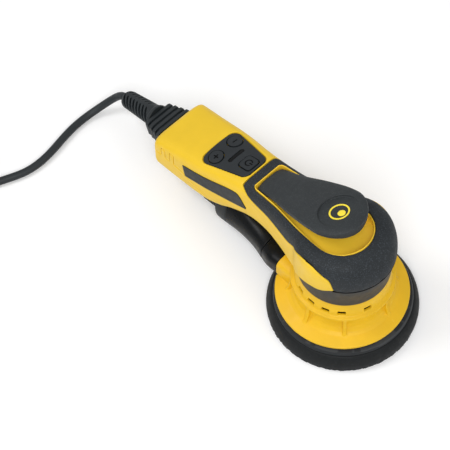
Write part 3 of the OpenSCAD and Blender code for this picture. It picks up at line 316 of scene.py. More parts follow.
def material(name, colour, rough, grain=0.4, depth=0.02, mottle=0.06, wear=None, fleck=None, metal=0.0,
             coat=0.0, gleam=0.5, cells=False, hollow=None):
    """A surface with a moulded or drawn grain, uneven tone and roughness, bright edges and painted shade in
    its hollows.

    grain is the size of the texture and depth its height, both in millimetres; hollow is the colour of the
    painted shade in creases.
    """
    made = bpy.data.materials.new(name)
    made.use_nodes = True
    tree = made.node_tree
    nodes, links = tree.nodes, tree.links
    shader = nodes["Principled BSDF"]
    shader.inputs["Metallic"].default_value = metal
    shader.inputs["Coat Weight"].default_value = coat
    shader.inputs["Specular IOR Level"].default_value = gleam
    where = nodes.new("ShaderNodeTexCoord").outputs["Object"]

    def speckle(size, detail=3.0):
        n = nodes.new("ShaderNodeTexNoise")
        n.inputs["Scale"].default_value = 1 / (size * MM)
        n.inputs["Detail"].default_value = detail
        links.new(where, n.inputs["Vector"])
        return n.outputs["Fac"]

    def loops(size):
        n = nodes.new("ShaderNodeTexVoronoi")
        n.inputs["Scale"].default_value = 1 / (size * MM)
        links.new(where, n.inputs["Vector"])
        return n.outputs["Distance"]

    def ramp(value, low, high, start, end):
        n = nodes.new("ShaderNodeMapRange")
        n.clamp = True
        for key, v in (("From Min", start), ("From Max", end), ("To Min", low), ("To Max", high)):
            n.inputs[key].default_value = v
        links.new(value, n.inputs["Value"])
        return n.outputs["Result"]

    def blend(share, first, second):
        n = nodes.new("ShaderNodeMix")
        n.data_type = "RGBA"
        links.new(share, n.inputs["Factor"])
        for key, v in (("A", first), ("B", second)):
            socket = next(s for s in n.inputs if s.name == key and s.type == "RGBA")
            if isinstance(v, list):
                socket.default_value = v
            else:
                links.new(v, socket)
        return next(s for s in n.outputs if s.type == "RGBA")

    dark = [c * (1 - mottle) for c in colour[:3]] + [1]
    light = [min(1, c * (1 + mottle)) for c in colour[:3]] + [1]
    tone = blend(ramp(speckle(23, 4), 0, 1, 0.35, 0.65), dark, light)
    if fleck:
        tone = blend(ramp(speckle(FLECK, 1), 0, 0.4, 0.54, 0.74), tone, fleck)
    if wear:
        edge = nodes.new("ShaderNodeNewGeometry").outputs["Pointiness"]
        tone = blend(ramp(edge, 0, 0.5, 0.53, 0.62), tone, wear)
        # Painted shade: creases and hollows (low pointiness) darken towards the hollow colour, or else a
        # quarter of the base colour
        tone = blend(ramp(edge, 0.85, 0, 0.41, 0.475), tone, hollow or [c * 0.25 for c in colour[:3]] + [1])
    links.new(tone, shader.inputs["Base Color"])
    links.new(ramp(speckle(5, 4), rough - 0.06, rough + 0.06, 0.3, 0.7), shader.inputs["Roughness"])
    bump = nodes.new("ShaderNodeBump")
    bump.inputs["Strength"].default_value = 0.6
    bump.inputs["Distance"].default_value = depth * MM
    links.new(loops(grain) if cells else speckle(grain, 2), bump.inputs["Height"])
    links.new(bump.outputs["Normal"], shader.inputs["Normal"])
    return made


YELLOW = linear(235, 194, 34)
# Every material below that has a wear colour also darkens its creases as painted shade, in its hollow colour
# or else a quarter of its base
MAT = {
    "yellow_plastic": material("yellow_plastic", YELLOW, 0.42, grain=0.5, depth=0.012, mottle=0.03,
                               wear=linear(246, 212, 78), gleam=0.4, hollow=linear(176, 116, 8)),
    "black_plastic": material("black_plastic", linear(38, 42, 45), 0.52, grain=0.45, depth=0.03, mottle=0.08,
                              wear=linear(78, 82, 84), gleam=0.3),
    "soft_grip": material("soft_grip", linear(38, 42, 45), 0.62, grain=0.55, depth=0.05, mottle=0.08,
                          wear=linear(74, 79, 82), fleck=linear(84, 92, 100), gleam=0.25),
    "inner_plastic": material("inner_plastic", linear(32, 35, 38), 0.55, grain=0.6, depth=0.03, mottle=0.08,
                              wear=linear(70, 72, 74), gleam=0.3),
    "hook_fabric": material("hook_fabric", linear(40, 42, 44), 0.9, grain=1.1, depth=0.5, mottle=0.2,
                            gleam=0.15, cells=True),
    "pad_foam": material("pad_foam", linear(24, 26, 27), 0.55, grain=0.8, depth=0.05, mottle=0.1,
                         wear=linear(70, 74, 76), fleck=linear(46, 50, 53), gleam=0.18),
    "cable_rubber": material("cable_rubber", linear(36, 41, 44), 0.48, grain=0.6, depth=0.02, mottle=0.1,
                             wear=linear(66, 72, 76), gleam=0.35),
    "steel": material("steel", linear(196, 198, 200), 0.3, grain=0.3, depth=0.006, mottle=0.05, metal=1.0),
    "core_steel": material("core_steel", linear(118, 120, 124), 0.5, grain=0.35, depth=0.02, mottle=0.1,
                           metal=1.0),
    "copper": material("copper", linear(200, 120, 70), 0.35, grain=0.5, depth=0.05, mottle=0.15, metal=1.0),
    "alloy": material("alloy", linear(205, 207, 210), 0.4, grain=0.5, depth=0.02, mottle=0.08, metal=1.0),
    "lens": material("lens", linear(8, 9, 10), 0.3, grain=0.8, depth=0.004, mottle=0.1, gleam=0.2),
    "board": material("board", linear(24, 92, 54), 0.4, grain=0.6, depth=0.02, mottle=0.15),
    "capacitor_can": material("capacitor_can", linear(120, 124, 132), 0.35, grain=0.5, depth=0.01,
                              mottle=0.08, metal=1.0),
    "nickel": material("nickel", linear(214, 210, 200), 0.2, grain=0.4, depth=0.004, mottle=0.05, metal=1.0),
}
# Finishes that differ from their slot's: duct, lever, collar, shroud and the signs; the bed's yellow is the
# housing yellow made brighter as painted light, and the signs' black also draws painted shade in the seam
gloss_black = material("gloss_black", linear(16, 18, 20), 0.3, grain=2.5, depth=0.002, mottle=0.08,
                       wear=linear(60, 63, 65), gleam=0.14)
lever_black = material("lever_black", linear(44, 48, 50), 0.56, grain=0.5, depth=0.03, mottle=0.06,
                       wear=linear(84, 88, 90), fleck=linear(72, 77, 80), gleam=0.3)
collar_black = material("collar_black", linear(50, 50, 49), 0.5, grain=0.45, depth=0.02, mottle=0.1,
                        wear=linear(80, 82, 82), gleam=0.35)
# Painted light: the bed's yellow is brighter and more orange than the housing's, standing in for light
# bounced into the recess under the lever
bed_yellow_lit = material("bed_yellow_lit", linear(255, 208, 56), 0.45, grain=0.5, depth=0.012, mottle=0.03,
                      wear=linear(255, 216, 84), gleam=0.3, hollow=linear(196, 132, 10))
shroud_yellow = material("shroud_yellow", linear(230, 184, 24), 0.45, grain=0.5, depth=0.012, mottle=0.04,
                         wear=linear(244, 206, 70), gleam=0.35, hollow=linear(170, 108, 8))
# Near-black of the printed signs, also used for the strip of painted shade in the seam
sign_and_shade_black = material("sign_and_shade_black", linear(6, 7, 8), 0.6, grain=0.3, depth=0.008, mottle=0.04, gleam=0.1)
sign_yellow = material("sign_yellow", linear(250, 226, 60), 0.5, grain=0.3, depth=0.008, mottle=0.04)
for part in frame["record"]["subparts"]:
    held = frame["nodes"][part["node"]].data.materials
    held.clear()
    held.append(MAT[part["material_slot"]])


# Camera: the photograph's place, in millimetres and degrees, with its long lens
CAMERA_AT = (517.5, -601.3, 1436.1)
CAMERA_AZIMUTH = 47.46
CAMERA_ELEVATION = 58.93
CAMERA_ROLL = -1.78
FOCAL_PIXELS = 2000
IMAGE_PIXELS = 450
camera = bpy.data.objects.new("camera", bpy.data.cameras.new("camera"))
bpy.context.scene.collection.objects.link(camera)
camera.data.sensor_width = 36
camera.data.lens = camera.data.sensor_width * FOCAL_PIXELS / IMAGE_PIXELS
back = Vector((sin(CAMERA_AZIMUTH) * cos(CAMERA_ELEVATION), -cos(CAMERA_AZIMUTH) * cos(CAMERA_ELEVATION),
               sin(CAMERA_ELEVATION)))
right = Vector((cos(CAMERA_AZIMUTH), sin(CAMERA_AZIMUTH), 0))
up = back.cross(right)
rolled = [right * cos(CAMERA_ROLL) + up * sin(CAMERA_ROLL),
          up * cos(CAMERA_ROLL) - right * sin(CAMERA_ROLL), back]
camera.matrix_world = Matrix.Translation(Vector(CAMERA_AT) * MM) @ Matrix(rolled).transposed().to_4x4()
camera.data.clip_start, camera.data.clip_end = 0.05, 50
bpy.context.scene.camera = camera


# Mains lead: the free stretch on its given route, then the coil and its tail
GLAND_Z = 48.6
CORD_R = CORD_D / 2
BOOT_TOP = BELLOWS_LEN + BOOT_LEN
boot_dir = Vector((-cos(CABLE_DROOP), 0, -sin(CABLE_DROOP)))
cord_start = Vector((-HANDLE_LEN, 0, GLAND_Z)) + (BOOT_TOP + 0.1) * boot_dir
COIL_HEADING = Vector((-3.7, -9.3, 0)).normalized()
COIL_ENTRY = Vector((-308, -183, CORD_R + 1))
ROUTE = [cord_start, cord_start + 6 * boot_dir, Vector((-270.5, -2, 19)), Vector((-280, -16, 5)),
         Vector((-282, -36, CORD_R)), Vector((-279, -55, CORD_R + 1)), Vector((-274, -77, CORD_R + 0.6)),
         Vector((-274, -98, CORD_R + 0.1)), Vector((-279, -112, CORD_R + 0.1)),
         Vector((-285, -126, CORD_R + 0.2)), Vector((-292, -143, CORD_R + 0.4)),
         Vector((-299, -160, CORD_R + 0.7)), COIL_ENTRY - 8 * COIL_HEADING, COIL_ENTRY]
COIL_PITCH = CORD_D + 0.6
COIL_TURNS = 3.5
COIL_LAYERS = 4
COIL_R = 53.6
COIL_IN_R = COIL_R - COIL_TURNS * COIL_PITCH
TAIL_TURNS = 0.5
TAIL_LIFT = 3
TAIL_IN = 23
TURN_POINTS = 48
coil_side = Vector((COIL_HEADING.y, -COIL_HEADING.x, 0))
coil_mid = COIL_ENTRY + COIL_R * coil_side
coil_start = math.degrees(math.atan2(-coil_side.y, -coil_side.x))


def spline_at(c, i, t):
    """A point of the uniform cubic spline with held ends."""
    a, b, d, e = (c[max(0, min(len(c) - 1, k))] for k in (i - 1, i, i + 1, i + 2))
    return ((1 - t) ** 3 * a + (3 * t**3 - 6 * t**2 + 4) * b + (3 * t + 3 * t**2 - 3 * t**3 + 1) * d
            + t**3 * e) / 6


def eased(t):
    k = max(0, min(1, t))
    return k * k * (3 - 2 * k)


def coil_point(s):
    layer = math.floor(s / COIL_TURNS)
    u = s - layer * COIL_TURNS
    r = COIL_R - COIL_PITCH * u if layer % 2 == 0 else COIL_IN_R + COIL_PITCH * u
    r -= TAIL_IN * eased((s - COIL_LAYERS * COIL_TURNS - 0.12) / 0.6)
    level = COIL_PITCH * sum(eased((s - k * COIL_TURNS) * 2 + 0.5) for k in range(1, COIL_LAYERS + 1))
    level += TAIL_LIFT * eased((s - COIL_LAYERS * COIL_TURNS) * 2)
    a = coil_start - 360 * s
    return coil_mid + Vector((r * cos(a), r * sin(a), level))


coil_end = COIL_LAYERS * COIL_TURNS + TAIL_TURNS
turns = [coil_point(s) for s in spread(0, coil_end, round(coil_end * TURN_POINTS))]
tail = turns[-1] - turns[-2]
tail.z = 0
tail.normalize()
lead = [cord_start] + [spline_at(ROUTE, i, t / 10) for i in range(-1, len(ROUTE)) for t in range(10)][1:]
lead += [COIL_ENTRY + 2 * COIL_HEADING] + turns[1:] + [turns[-1] + CORD_D * tail]
lead = [p for k, p in enumerate(lead) if k == 0 or (p - lead[k - 1]).length > 0.05]
cord_curve = bpy.data.curves.new("mains_lead", "CURVE")
cord_curve.dimensions = "3D"
cord_curve.bevel_depth = CORD_R * MM
cord_curve.bevel_resolution = 6
cord_curve.use_fill_caps = True
strand = cord_curve.splines.new("POLY")
strand.points.add(len(lead) - 1)
for place, p in zip(strand.points, lead):
    place.co = (*(p * MM), 1)
strand.use_smooth = True
mains_lead = bpy.data.objects.new("mains_lead", cord_curve)
bpy.context.scene.collection.objects.link(mains_lead)
lead_length = sum((b - a).length for a, b in zip(lead, lead[1:]))
dress(mains_lead, MAT["cable_rubber"], "machine", "cable_rubber", "cord", "cord_coil")

plug_form = dress(from_node("plug", "mains_plug", 0.5, 6), MAT["cable_rubber"], "machine", "cable_rubber",
                  "plug")
tie_form = dress(from_node("cord_tie", "coil_tie", 0.35, 3), MAT["hook_fabric"], "machine", "hook_fabric",
                 "cord_tie")


# Body of the machine: sections across X as the solids have, with the grip's edge as photographed
def handle_top(x):
    return TOP_Z + (x + KEYPAD_X) * math.tan(math.radians(HANDLE_SLOPE))


RIM_X = 34 - KEYPAD_X
RIM_Z = handle_top(RIM_X) - 0.6
RIM_SLOPE = 9.8


def rim_top(x):
    return RIM_Z + (x - RIM_X) * math.tan(math.radians(RIM_SLOPE))


TIP_X = 20.5
GRIP_X = RIM_X - 9
FLARE_X = -26
REAR_ROUND = 5
flare_half_w = math.sqrt(HEAD_R**2 - FLARE_X**2)
WIDTHS = [(-HANDLE_LEN, HANDLE_W / 2 + 1.2), (-165, HANDLE_W / 2 + 0.4), (-134, HANDLE_W / 2 - 0.6),
          (-106, WAIST_W / 2 + 1.3), (-84, WAIST_W / 2 - 0.4), (-64, WAIST_W / 2 + 0.4),
          (-45, WAIST_W / 2 + 3.6), (-34, WAIST_W / 2 + 6.6), (FLARE_X, flare_half_w),
          (FLARE_X + 8, flare_half_w + 5)]
TOPS = [(-HANDLE_LEN, handle_top(-HANDLE_LEN)), (-134, handle_top(-134)), (RIM_X, handle_top(RIM_X)),
        (-66, rim_top(-66) + 1.2), (-40, rim_top(-40) + 2), (-13, rim_top(-13) + 2.8), (2, rim_top(2) + 2.8),
        (TIP_X, rim_top(TIP_X)), (27, rim_top(TIP_X) - 2.2), (33, rim_top(TIP_X) - 7.5),
        (37.5, rim_top(TIP_X) - 15), (39.6, SEAM_Z + 6.4), (HEAD_R, SEAM_Z + 2)]
MIDDLES = [(-HANDLE_LEN, BELLY_Z + 20), (-165, BELLY_Z + 23), (-134, BELLY_Z + 30), (-106, SEAM_Z - 22),
           (RIM_X, SEAM_Z - 14), (-66, SEAM_Z - 8.7), (-45, SEAM_Z - 6.6), (-33, SEAM_Z - 5.2),
           (-20, SEAM_Z - 1.5), (-5, SEAM_Z + 3.3), (9, SEAM_Z + 2.9), (16, SEAM_Z + 1.8),
           (TIP_X, SEAM_Z + 0.6), (24, SEAM_Z + 0.2), (HEAD_R, SEAM_Z + 0.2)]
UNDERS = [(-HANDLE_LEN, BELLY_Z), (-160, BELLY_Z), (-134, BELLY_Z + 1.5), (-118, BELLY_Z + 7.5),
          (-106, BELLY_Z + 16), (RIM_X, BELLY_Z + 23.5), (-60, BELLY_Z + 24.5), (-40, BELLY_Z + 25.5),
          (-24, BELLY_Z + 29), (-12, BELLY_Z + 40), (0, BELLY_Z + 47), (10, BELLY_Z + 50.5),
          (16, BELLY_Z + 54), (TIP_X, BELLY_Z + 59.5)]
ROUND_UP = [(-HANDLE_LEN, 5.4), (-134, 6), (-106, 5), (-85, 4.8), (-66, 5), (-40, 5), (-26, 4.8), (0, 4.2),
            (TIP_X, 3.3), (HEAD_R, 2.6)]
ROUND_DOWN = [(-HANDLE_LEN, 5), (-106, 4), (-66, 3.6), (-26, 6), (8, 6), (TIP_X, 3), (HEAD_R, 3)]
GRIP_EDGE = [(GRIP_X, 48), (-92, 42), (-86, 31), (-76, 20.5), (-66, 15.5), (-56, 10.5), (-43, 8), (-36, 11),
             (-29.5, 17), (-20, 28), (-10, 35.5), (0, 36.5), (6.5, 32.5), (11.5, 28), (17.5, 22.5),
             (19.6, 13), (TIP_X, 6), (TIP_X + 1.2, 0.4), (HEAD_R, 0.4)]


class Section:
    """The body's section at one X."""

    def __init__(self, x):
        d = min(REAR_ROUND, x + HANDLE_LEN)
        rear = REAR_ROUND - math.sqrt(max(0, REAR_ROUND**2 - (REAR_ROUND - d) ** 2))
        wide = math.sqrt(max(0.01, HEAD_R**2 - x * x)) if x > FLARE_X else curve(WIDTHS, x)
        self.x = x
        self.half_w = wide - rear
        self.mid = curve(MIDDLES, x)
        self.top = curve(TOPS, x) - rear
        self.under = min(self.mid - 1.2, curve(UNDERS, x) + rear)
        self.n_up, self.n_down = curve(ROUND_UP, x), curve(ROUND_DOWN, x)

    def point(self, a, inset=0.0):
        rising = sin(a) >= 0
        p = round_at(a, self.n_up if rising else self.n_down)
        tall = max(0.4, self.top - self.mid - inset) if rising else self.mid - self.under
        shrunk = 1 - inset / HEAD_R
        w = self.half_w * shrunk if self.x > 0 else self.half_w - inset
        return (self.x * shrunk if self.x > 0 else self.x, w * p * cos(a), self.mid + tall * p * sin(a))

    def side(self, z, out):
        """The half width at one level, moved out."""
        rising = z >= self.mid
        tall = (self.top - self.mid if rising else self.mid - self.under) + out
        n = self.n_up if rising else self.n_down
        return (self.half_w + out) * max(0, 1 - (abs(z - self.mid) / tall) ** n) ** (1 / n)


ON_RIM = at(RIM_X, 0, RIM_Z, -RIM_SLOPE)
ON_TOP = at(-KEYPAD_X, 0, TOP_Z, -HANDLE_SLOPE)
ON_CABLE = at(-HANDLE_LEN, 0, GLAND_Z, -90 - CABLE_DROOP)
FITTING_X = -113
ON_FITTING = at(FITTING_X, 0, DUCT_Z, -90 - DUCT_TILT)

# Recess of the lever, in the plane of its rim
RECESS_D = 8
NOSE_X = 84.6
NOSE_R = 25.2
RECESS = [(0, 13.4), (2, 15.4), (5, 16.2), (12, 16.6), (30, 18.2), (57, 22.6), (75, 24.7), (NOSE_X, NOSE_R)]


def mirrored(c):
    return c + [(x, -y) for x, y in reversed(c)]


def recess_outline(g):
    side = [(max(x, g), curve(RECESS, x) - g) for x in [0, 0.4, 0.9, 1.5, 2.2, 3, 4, 5, *steps(6, 82, 1.5)]]
    nose = [(NOSE_X + (NOSE_R - g) * cos(a), (NOSE_R - g) * sin(a)) for a in spread(89, 1, 44)]
    return mirrored(side + nose)


def recess(name, g, low, high):
    return prism(name, recess_outline(g), low, high, ON_RIM)


# Keypad outline on the sloping top
PAD_REAR = 13.6
PAD_FRONT = 7
PAD_CORNER = 5
PANEL_GROW = 1.2
POCKET_GROW = 1.9
PANEL_LOW = -2.4
POCKET_LOW = -2.6


def corner(x, y, r, start, end):
    return [(x + r * cos(a), y + r * sin(a)) for a in spread(start, end, 16)]


def keypad_plan(g):
    return mirrored(corner(PAD_CORNER - KEYPAD_LEN / 2, PAD_REAR, PAD_CORNER + g, 179.9, 79)
                    + corner(KEYPAD_LEN / 2 - PAD_CORNER, PAD_FRONT, PAD_CORNER + g, 79, 0.1))


# Hinge of the lever, pad axis, and the outlines that several pieces share
PIN_X = RIM_X + 10
PIN_Z = rim_top(PIN_X) - RECESS_D - 1.2 - LEVER_PIN_D / 2
KNUCKLE_R = 4.4
KNUCKLE_W = 16
KEY_X = -13.8
POWER_X = 14.6
LED_X = -0.8
FLANGE_R = CUFF_D / 2 + 4.8
CUFF_START = 14


def eased_from(x, start, end):
    return eased((x - start) / (end - start))


def knuckle_pocket():
    return block("pocket", (PIN_X - 7, -KNUCKLE_W / 2 - 1, PIN_Z - KNUCKLE_R - 1),
                 (PIN_X + 7, KNUCKLE_W / 2 + 1, PIN_Z + 15))


def power_plan(g):
    return [(POWER_X + x, y) for x, y in oval(POWER_W / 2 + g, POWER_W / 2 + g, 4.5, 80)]


def key_forms(name, g, low, high):
    """The three keys' plans on the sloping top, grown by g."""
    rounds = [rod(name, KEY_D / 2 + g, low, high, ON_TOP @ Matrix.Translation((KEY_X, s * KEY_PITCH / 2, 0)))
              for s in (-1, 1)]
    return rounds + [prism(name, power_plan(g), low, high, ON_TOP)]


# Housing: one body, parted into shell and rear cover
COVER_LEN = 76
COVER_Z = BELLY_Z + 24.5
COVER_TABS = [(10, 5, 9), (20, 5, 12)]
PART_LINE = 0.4


def housing_ring(x):
    section = Section(x)
    g = curve(GRIP_EDGE, max(x, GRIP_X))
    step = GRIP_T if x >= GRIP_X else 0
    return ([section.point(a) for a in spread(0, g, 10)]
            + [section.point(a, step) for a in spread(g + 1, 179 - g, 44)]
            + [section.point(a) for a in spread(180 - g, 180, 10)]
            + [section.point(a) for a in spread(183, 357, 58)])


def cover_block(name, g):
    """The rear cover's share of the body, with the tabs of its stepped parting line."""
    line = [(-20, -5), (-20, COVER_Z - g), (33, COVER_Z - g), (COVER_LEN - g, BELLY_Z + 9 - g),
            (COVER_LEN - g, -5)]
    share = loft(name, [[(x - HANDLE_LEN, y, z) for x, z in line] for y in (40, -40)])
    tabs = [block("tab", (x + g - HANDLE_LEN, 33 * s - 12, COVER_Z - 3),
                  (x + w - g - HANDLE_LEN, 33 * s + 12, COVER_Z + h - g))
            for s in (-1, 1) for x, w, h in COVER_TABS]
    return cut(share, joined("tabs", tabs), how="UNION")


housing_xs = [d - HANDLE_LEN for d in (0, 0.1, 0.4, 0.9, 1.6, 2.6, 3.7)]
housing_xs += steps(REAR_ROUND - HANDLE_LEN, GRIP_X - 0.1, 2) + steps(GRIP_X, TIP_X, 1.5)
housing = loft("housing", [housing_ring(x) for x in housing_xs])
cut(housing, rod("collar_bore", COLLAR_R + 0.3, 50, 140, count=200),
    rod("flange_bed", FLANGE_R + MOVE_GAP, -14, CUFF_START + 0.6, ON_FITTING),
    rod("cuff_bed", CUFF_D / 2 + 2.5, 0, 130, ON_FITTING),
    *[rod("screw_well", 3.3, BELLY_Z - 16, BELLY_Z + 14, at(13 - HANDLE_LEN, s * (HANDLE_W / 2 - 6), 0))
      for s in (-1, 1)])
rear_cover = cut(copy_of(housing, "rear_cover_form"), cover_block("cover_block", PART_LINE), how="INTERSECT")
cut(housing, cover_block("cover_block", 0), recess("lever_recess", 0, -RECESS_D, 40),
    prism("keypad_pocket", keypad_plan(POCKET_GROW), POCKET_LOW, 20, ON_TOP),
    *key_forms("key_well", MOVE_GAP, -8, 2), knuckle_pocket())
dress(mould(housing, 0.5, 5), MAT["yellow_plastic"], "machine", "yellow_plastic", "housing_shell")
dress(mould(rear_cover, 0.45, 4), MAT["yellow_plastic"], "machine", "yellow_plastic", "rear_cover")


# Soft grip over the head, framing the recess, with a fine groove to the housing
def grip_ring(x):
    section = Section(x)
    g = curve(GRIP_EDGE, x) + 0.8 * (1 - eased_from(x, TIP_X, TIP_X + 1.2))
    return ([section.point(a) for a in spread(g + 0.4, 179.6 - g, 72)]
            + [section.point(a, GRIP_T - SEAT_GAP) for a in spread(178.2 - g, g + 1.8, 72)])


grip_xs = steps(GRIP_X + 0.7, TIP_X, 1.5) + steps(TIP_X + 0.6, 38, 1) + [38.8, 39.5, 40, 40.3, 40.55, 40.7]
grip = cut(loft("grip", [grip_ring(x) for x in grip_xs]), recess("grip_opening", -0.25, -RECESS_D - 4, 44))
dress(mould(grip, 0.45, 5), MAT["soft_grip"], "machine", "soft_grip", "head_grip")

# Yellow bed that lines the recess, in a yellow brightened as painted light
BED_T = 0.9
bed = cut(recess("recess_liner", SEAT_GAP, SEAT_GAP - RECESS_D, 0.45),
          recess("bed_hollow", BED_T + SEAT_GAP, BED_T - RECESS_D, 40), knuckle_pocket())
dress(mould(bed, 0.32, 3), bed_yellow_lit, "machine", "yellow_plastic", "lever_bed")


# Lever: crowned top, round front, knuckle on its pin, shallow dimple for the thumb
LEVER_REAR_X = RIM_X + 2.4
LEVER_FRONT_X = LEVER_REAR_X + LEVER_LEN - 0.4
LEVER_ROUND_X = LEVER_FRONT_X - LEVER_W / 2
LEVER_CROWN = 3.4
LEVER_TOP = [(LEVER_REAR_X, rim_top(LEVER_REAR_X) - 0.3), (-60, 109.6), (-35, 122.8), (-20, 130.2),
             (-9, 134.4), (2, 136.6), (LEVER_FRONT_X, 136.4)]
LEVER_HALF = [(LEVER_REAR_X, LEVER_REAR_W / 2 + 0.9), (-80, 14.4), (-75, 14.7), (-66, 15.5), (-57, 17.2),
              (-45, 20), (-31.7, 22.5), (-22, 24), (LEVER_ROUND_X, LEVER_W / 2),
              (LEVER_ROUND_X + 8, LEVER_W / 2 + 0.6)]
LEVER_THICK = [(LEVER_REAR_X, LEVER_T * 0.45), (-60, LEVER_T * 0.78), (-35, LEVER_T),
               (LEVER_FRONT_X, LEVER_T)]
DIMPLE_X = -9
DIMPLE_R = 17
DIMPLE_DEEP = 2.1
DIMPLE_SINK = 5


def lever_low(x):
    return curve(LEVER_TOP, x) - curve(LEVER_THICK, x)


def lever_ring(x):
    nose = max(0, x - LEVER_ROUND_X)
    w = math.sqrt(max(0.05, (LEVER_W / 2) ** 2 - nose**2)) if nose else curve(LEVER_HALF, x)
    w -= max(0, 1 - (x - LEVER_REAR_X) / 2.4) ** 2 * 2.2
    thick, mid = curve(LEVER_THICK, x), curve(LEVER_TOP, x) - LEVER_CROWN
    upper = [(x, w * round_at(a, 2.5) * cos(a), mid + LEVER_CROWN * round_at(a, 2.5) * sin(a))
             for a in spread(0, 180, 72)]
    lower = [(x, w * round_at(a, 6) * cos(a), mid + (thick - LEVER_CROWN) * round_at(a, 6) * sin(a))
             for a in spread(184, 356, 72)]
    return upper + lower


def along_y(x, z):
    return Matrix.Translation((x, 0, z)) @ Matrix.Rotation(math.radians(90), 4, "X")


lever_xs = [LEVER_REAR_X, *[LEVER_REAR_X + d for d in (0.2, 0.6, 1.2, 2)],
            *steps(LEVER_REAR_X + 3, LEVER_ROUND_X, 1.5)]
lever_xs += [LEVER_ROUND_X + LEVER_W / 2 * sin(a) for a in (*spread(4, 80, 19), 83, 86, 88, 89.2)]
dimple_tilt = math.degrees(math.atan((curve(LEVER_TOP, DIMPLE_X + 1) - curve(LEVER_TOP, DIMPLE_X - 1)) / 2))
ON_DIMPLE = at(DIMPLE_X, 0, curve(LEVER_TOP, DIMPLE_X), -dimple_tilt - DIMPLE_SINK)
palm_lever = loft("palm_lever", [lever_ring(x) for x in lever_xs])
cheek = [(PIN_X - KNUCKLE_R + 0.4, PIN_Z), (PIN_X + KNUCKLE_R - 0.4, PIN_Z),
         (PIN_X + KNUCKLE_R, lever_low(PIN_X + KNUCKLE_R) + 1.4),
         (PIN_X - KNUCKLE_R, lever_low(PIN_X - KNUCKLE_R) + 1.4)]
cut(palm_lever, loft("cheek", [[(x, y, z) for x, z in cheek] for y in (KNUCKLE_W / 2, -KNUCKLE_W / 2)]),
    rod("knuckle", KNUCKLE_R, -KNUCKLE_W / 2, KNUCKLE_W / 2, along_y(PIN_X, PIN_Z)), how="UNION")
cut(palm_lever, rod("dimple", DIMPLE_R, -DIMPLE_DEEP, 12, ON_DIMPLE),
    rod("pin_bore", LEVER_PIN_D / 2 + 0.1, -20, 20, along_y(PIN_X, PIN_Z)))
dress(mould(palm_lever, 0.42, 3), lever_black, "lever", "black_plastic", "lever")

# A plain orbit sign on the dimple's floor: a ring with a disc off its middle
SIGN_T = 0.4
on_floor = ON_DIMPLE @ Matrix.Translation((0, 0, 0.02 - DIMPLE_DEEP))
sign_ring = revolve("orbit_sign", [(7, 0), (8.4, 0), (8.4, SIGN_T - 0.1), (8.3, SIGN_T), (7.1, SIGN_T),
                                   (7, SIGN_T - 0.1)],
                    on_floor)
sign_disc = revolve("disc", [(0, 0), (3.2, 0), (3.2, SIGN_T - 0.1), (3.1, SIGN_T), (0, SIGN_T)],
                    on_floor @ Matrix.Translation((2.6, 0, 0)), 96)
orbit_sign = joined("orbit_sign", [sign_ring, sign_disc])
dress(edged(orbit_sign, 0.06, 2), sign_yellow, "lever", "yellow_plastic", "lever_mark")

# Spring under the lever, from the bed up to the lever's underside
SPRING_X = -45
SPRING_R = 3.6
SPRING_WIRE = 0.5
SPRING_TURNS = 5
spring_low = rim_top(SPRING_X + SPRING_R + 1) - RECESS_D + BED_T + 1.1
spring_high = lever_low(SPRING_X - SPRING_R - 1) - 0.9


def spring_ring(turn):
    a = 360 * turn
    z = spring_low + (spring_high - spring_low) * turn / SPRING_TURNS
    return [(SPRING_X + (SPRING_R + SPRING_WIRE * cos(b)) * cos(a),
             (SPRING_R + SPRING_WIRE * cos(b)) * sin(a), z + SPRING_WIRE * sin(b)) for b in spread(0, 330,
                                                                                                   11)]


spring = loft("return_spring", [spring_ring(t) for t in spread(0, SPRING_TURNS, SPRING_TURNS * 40)])
spring.data.shade_smooth()
dress(spring, MAT["steel"], "machine", "steel", "lever_spring")
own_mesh(spring)


# Pad, on the axis of its orbit: hook face, crowned foam and the plate above it
PAD_PLACE = at(ORBIT_OFFSET, 0, 0)


def dust_holes(low, high):
    return joined("dust_holes", [rod("hole", PAD_HOLE_D / 2, low, high,
                                     PAD_PLACE @ turned((i + 0.5) * 360 / PAD_HOLES, PAD_HOLE_CIRCLE / 2), 48)
                                 for i in range(PAD_HOLES)])


def frayed(a):
    return PAD_D / 2 - 0.5 + 0.14 * sin(37 * a) + 0.1 * sin(61 * a + 20) + 0.06 * sin(97 * a + 50)


hook_face = prism("hook_face", [(frayed(a) * cos(a), frayed(a) * sin(a)) for a in spread(0, 359.5, 719)], 0.2,
                  FACING_T - SEAT_GAP, PAD_PLACE)
cut(hook_face, dust_holes(-2, 6))
dress(roughen(mould(hook_face, 0.55, 1), 1.2, 0.35), MAT["hook_fabric"], "pad", "hook_fabric", "hook_facing")

FOAM_SIDE = [(61.7, FACING_T), (62.3, 2.75), (62.5, 3.3), (62.45, 5.2), (62.2, 7.4), (61.7, 9.4),
             (60.9, 11.6), (59.9, 13.6), (58.9, 15.1), (58.1, 15.9), (57.3, PLATE_Z - SEAT_GAP)]
foam = revolve("foam_pad", [(0, FACING_T), *FOAM_SIDE, (0, PLATE_Z - SEAT_GAP)], PAD_PLACE, 240)
cut(foam, dust_holes(-2, 30), rod("stud_bed", STUD_FLANGE_D / 2 + SEAT_GAP,
                                  PLATE_Z - STUD_FLANGE_H - 2 * SEAT_GAP, 30, PAD_PLACE))
dress(roughen(mould(foam, 0.6, 5), 2.5, 0.08), MAT["pad_foam"], "pad", "pad_foam", "pad_foam")

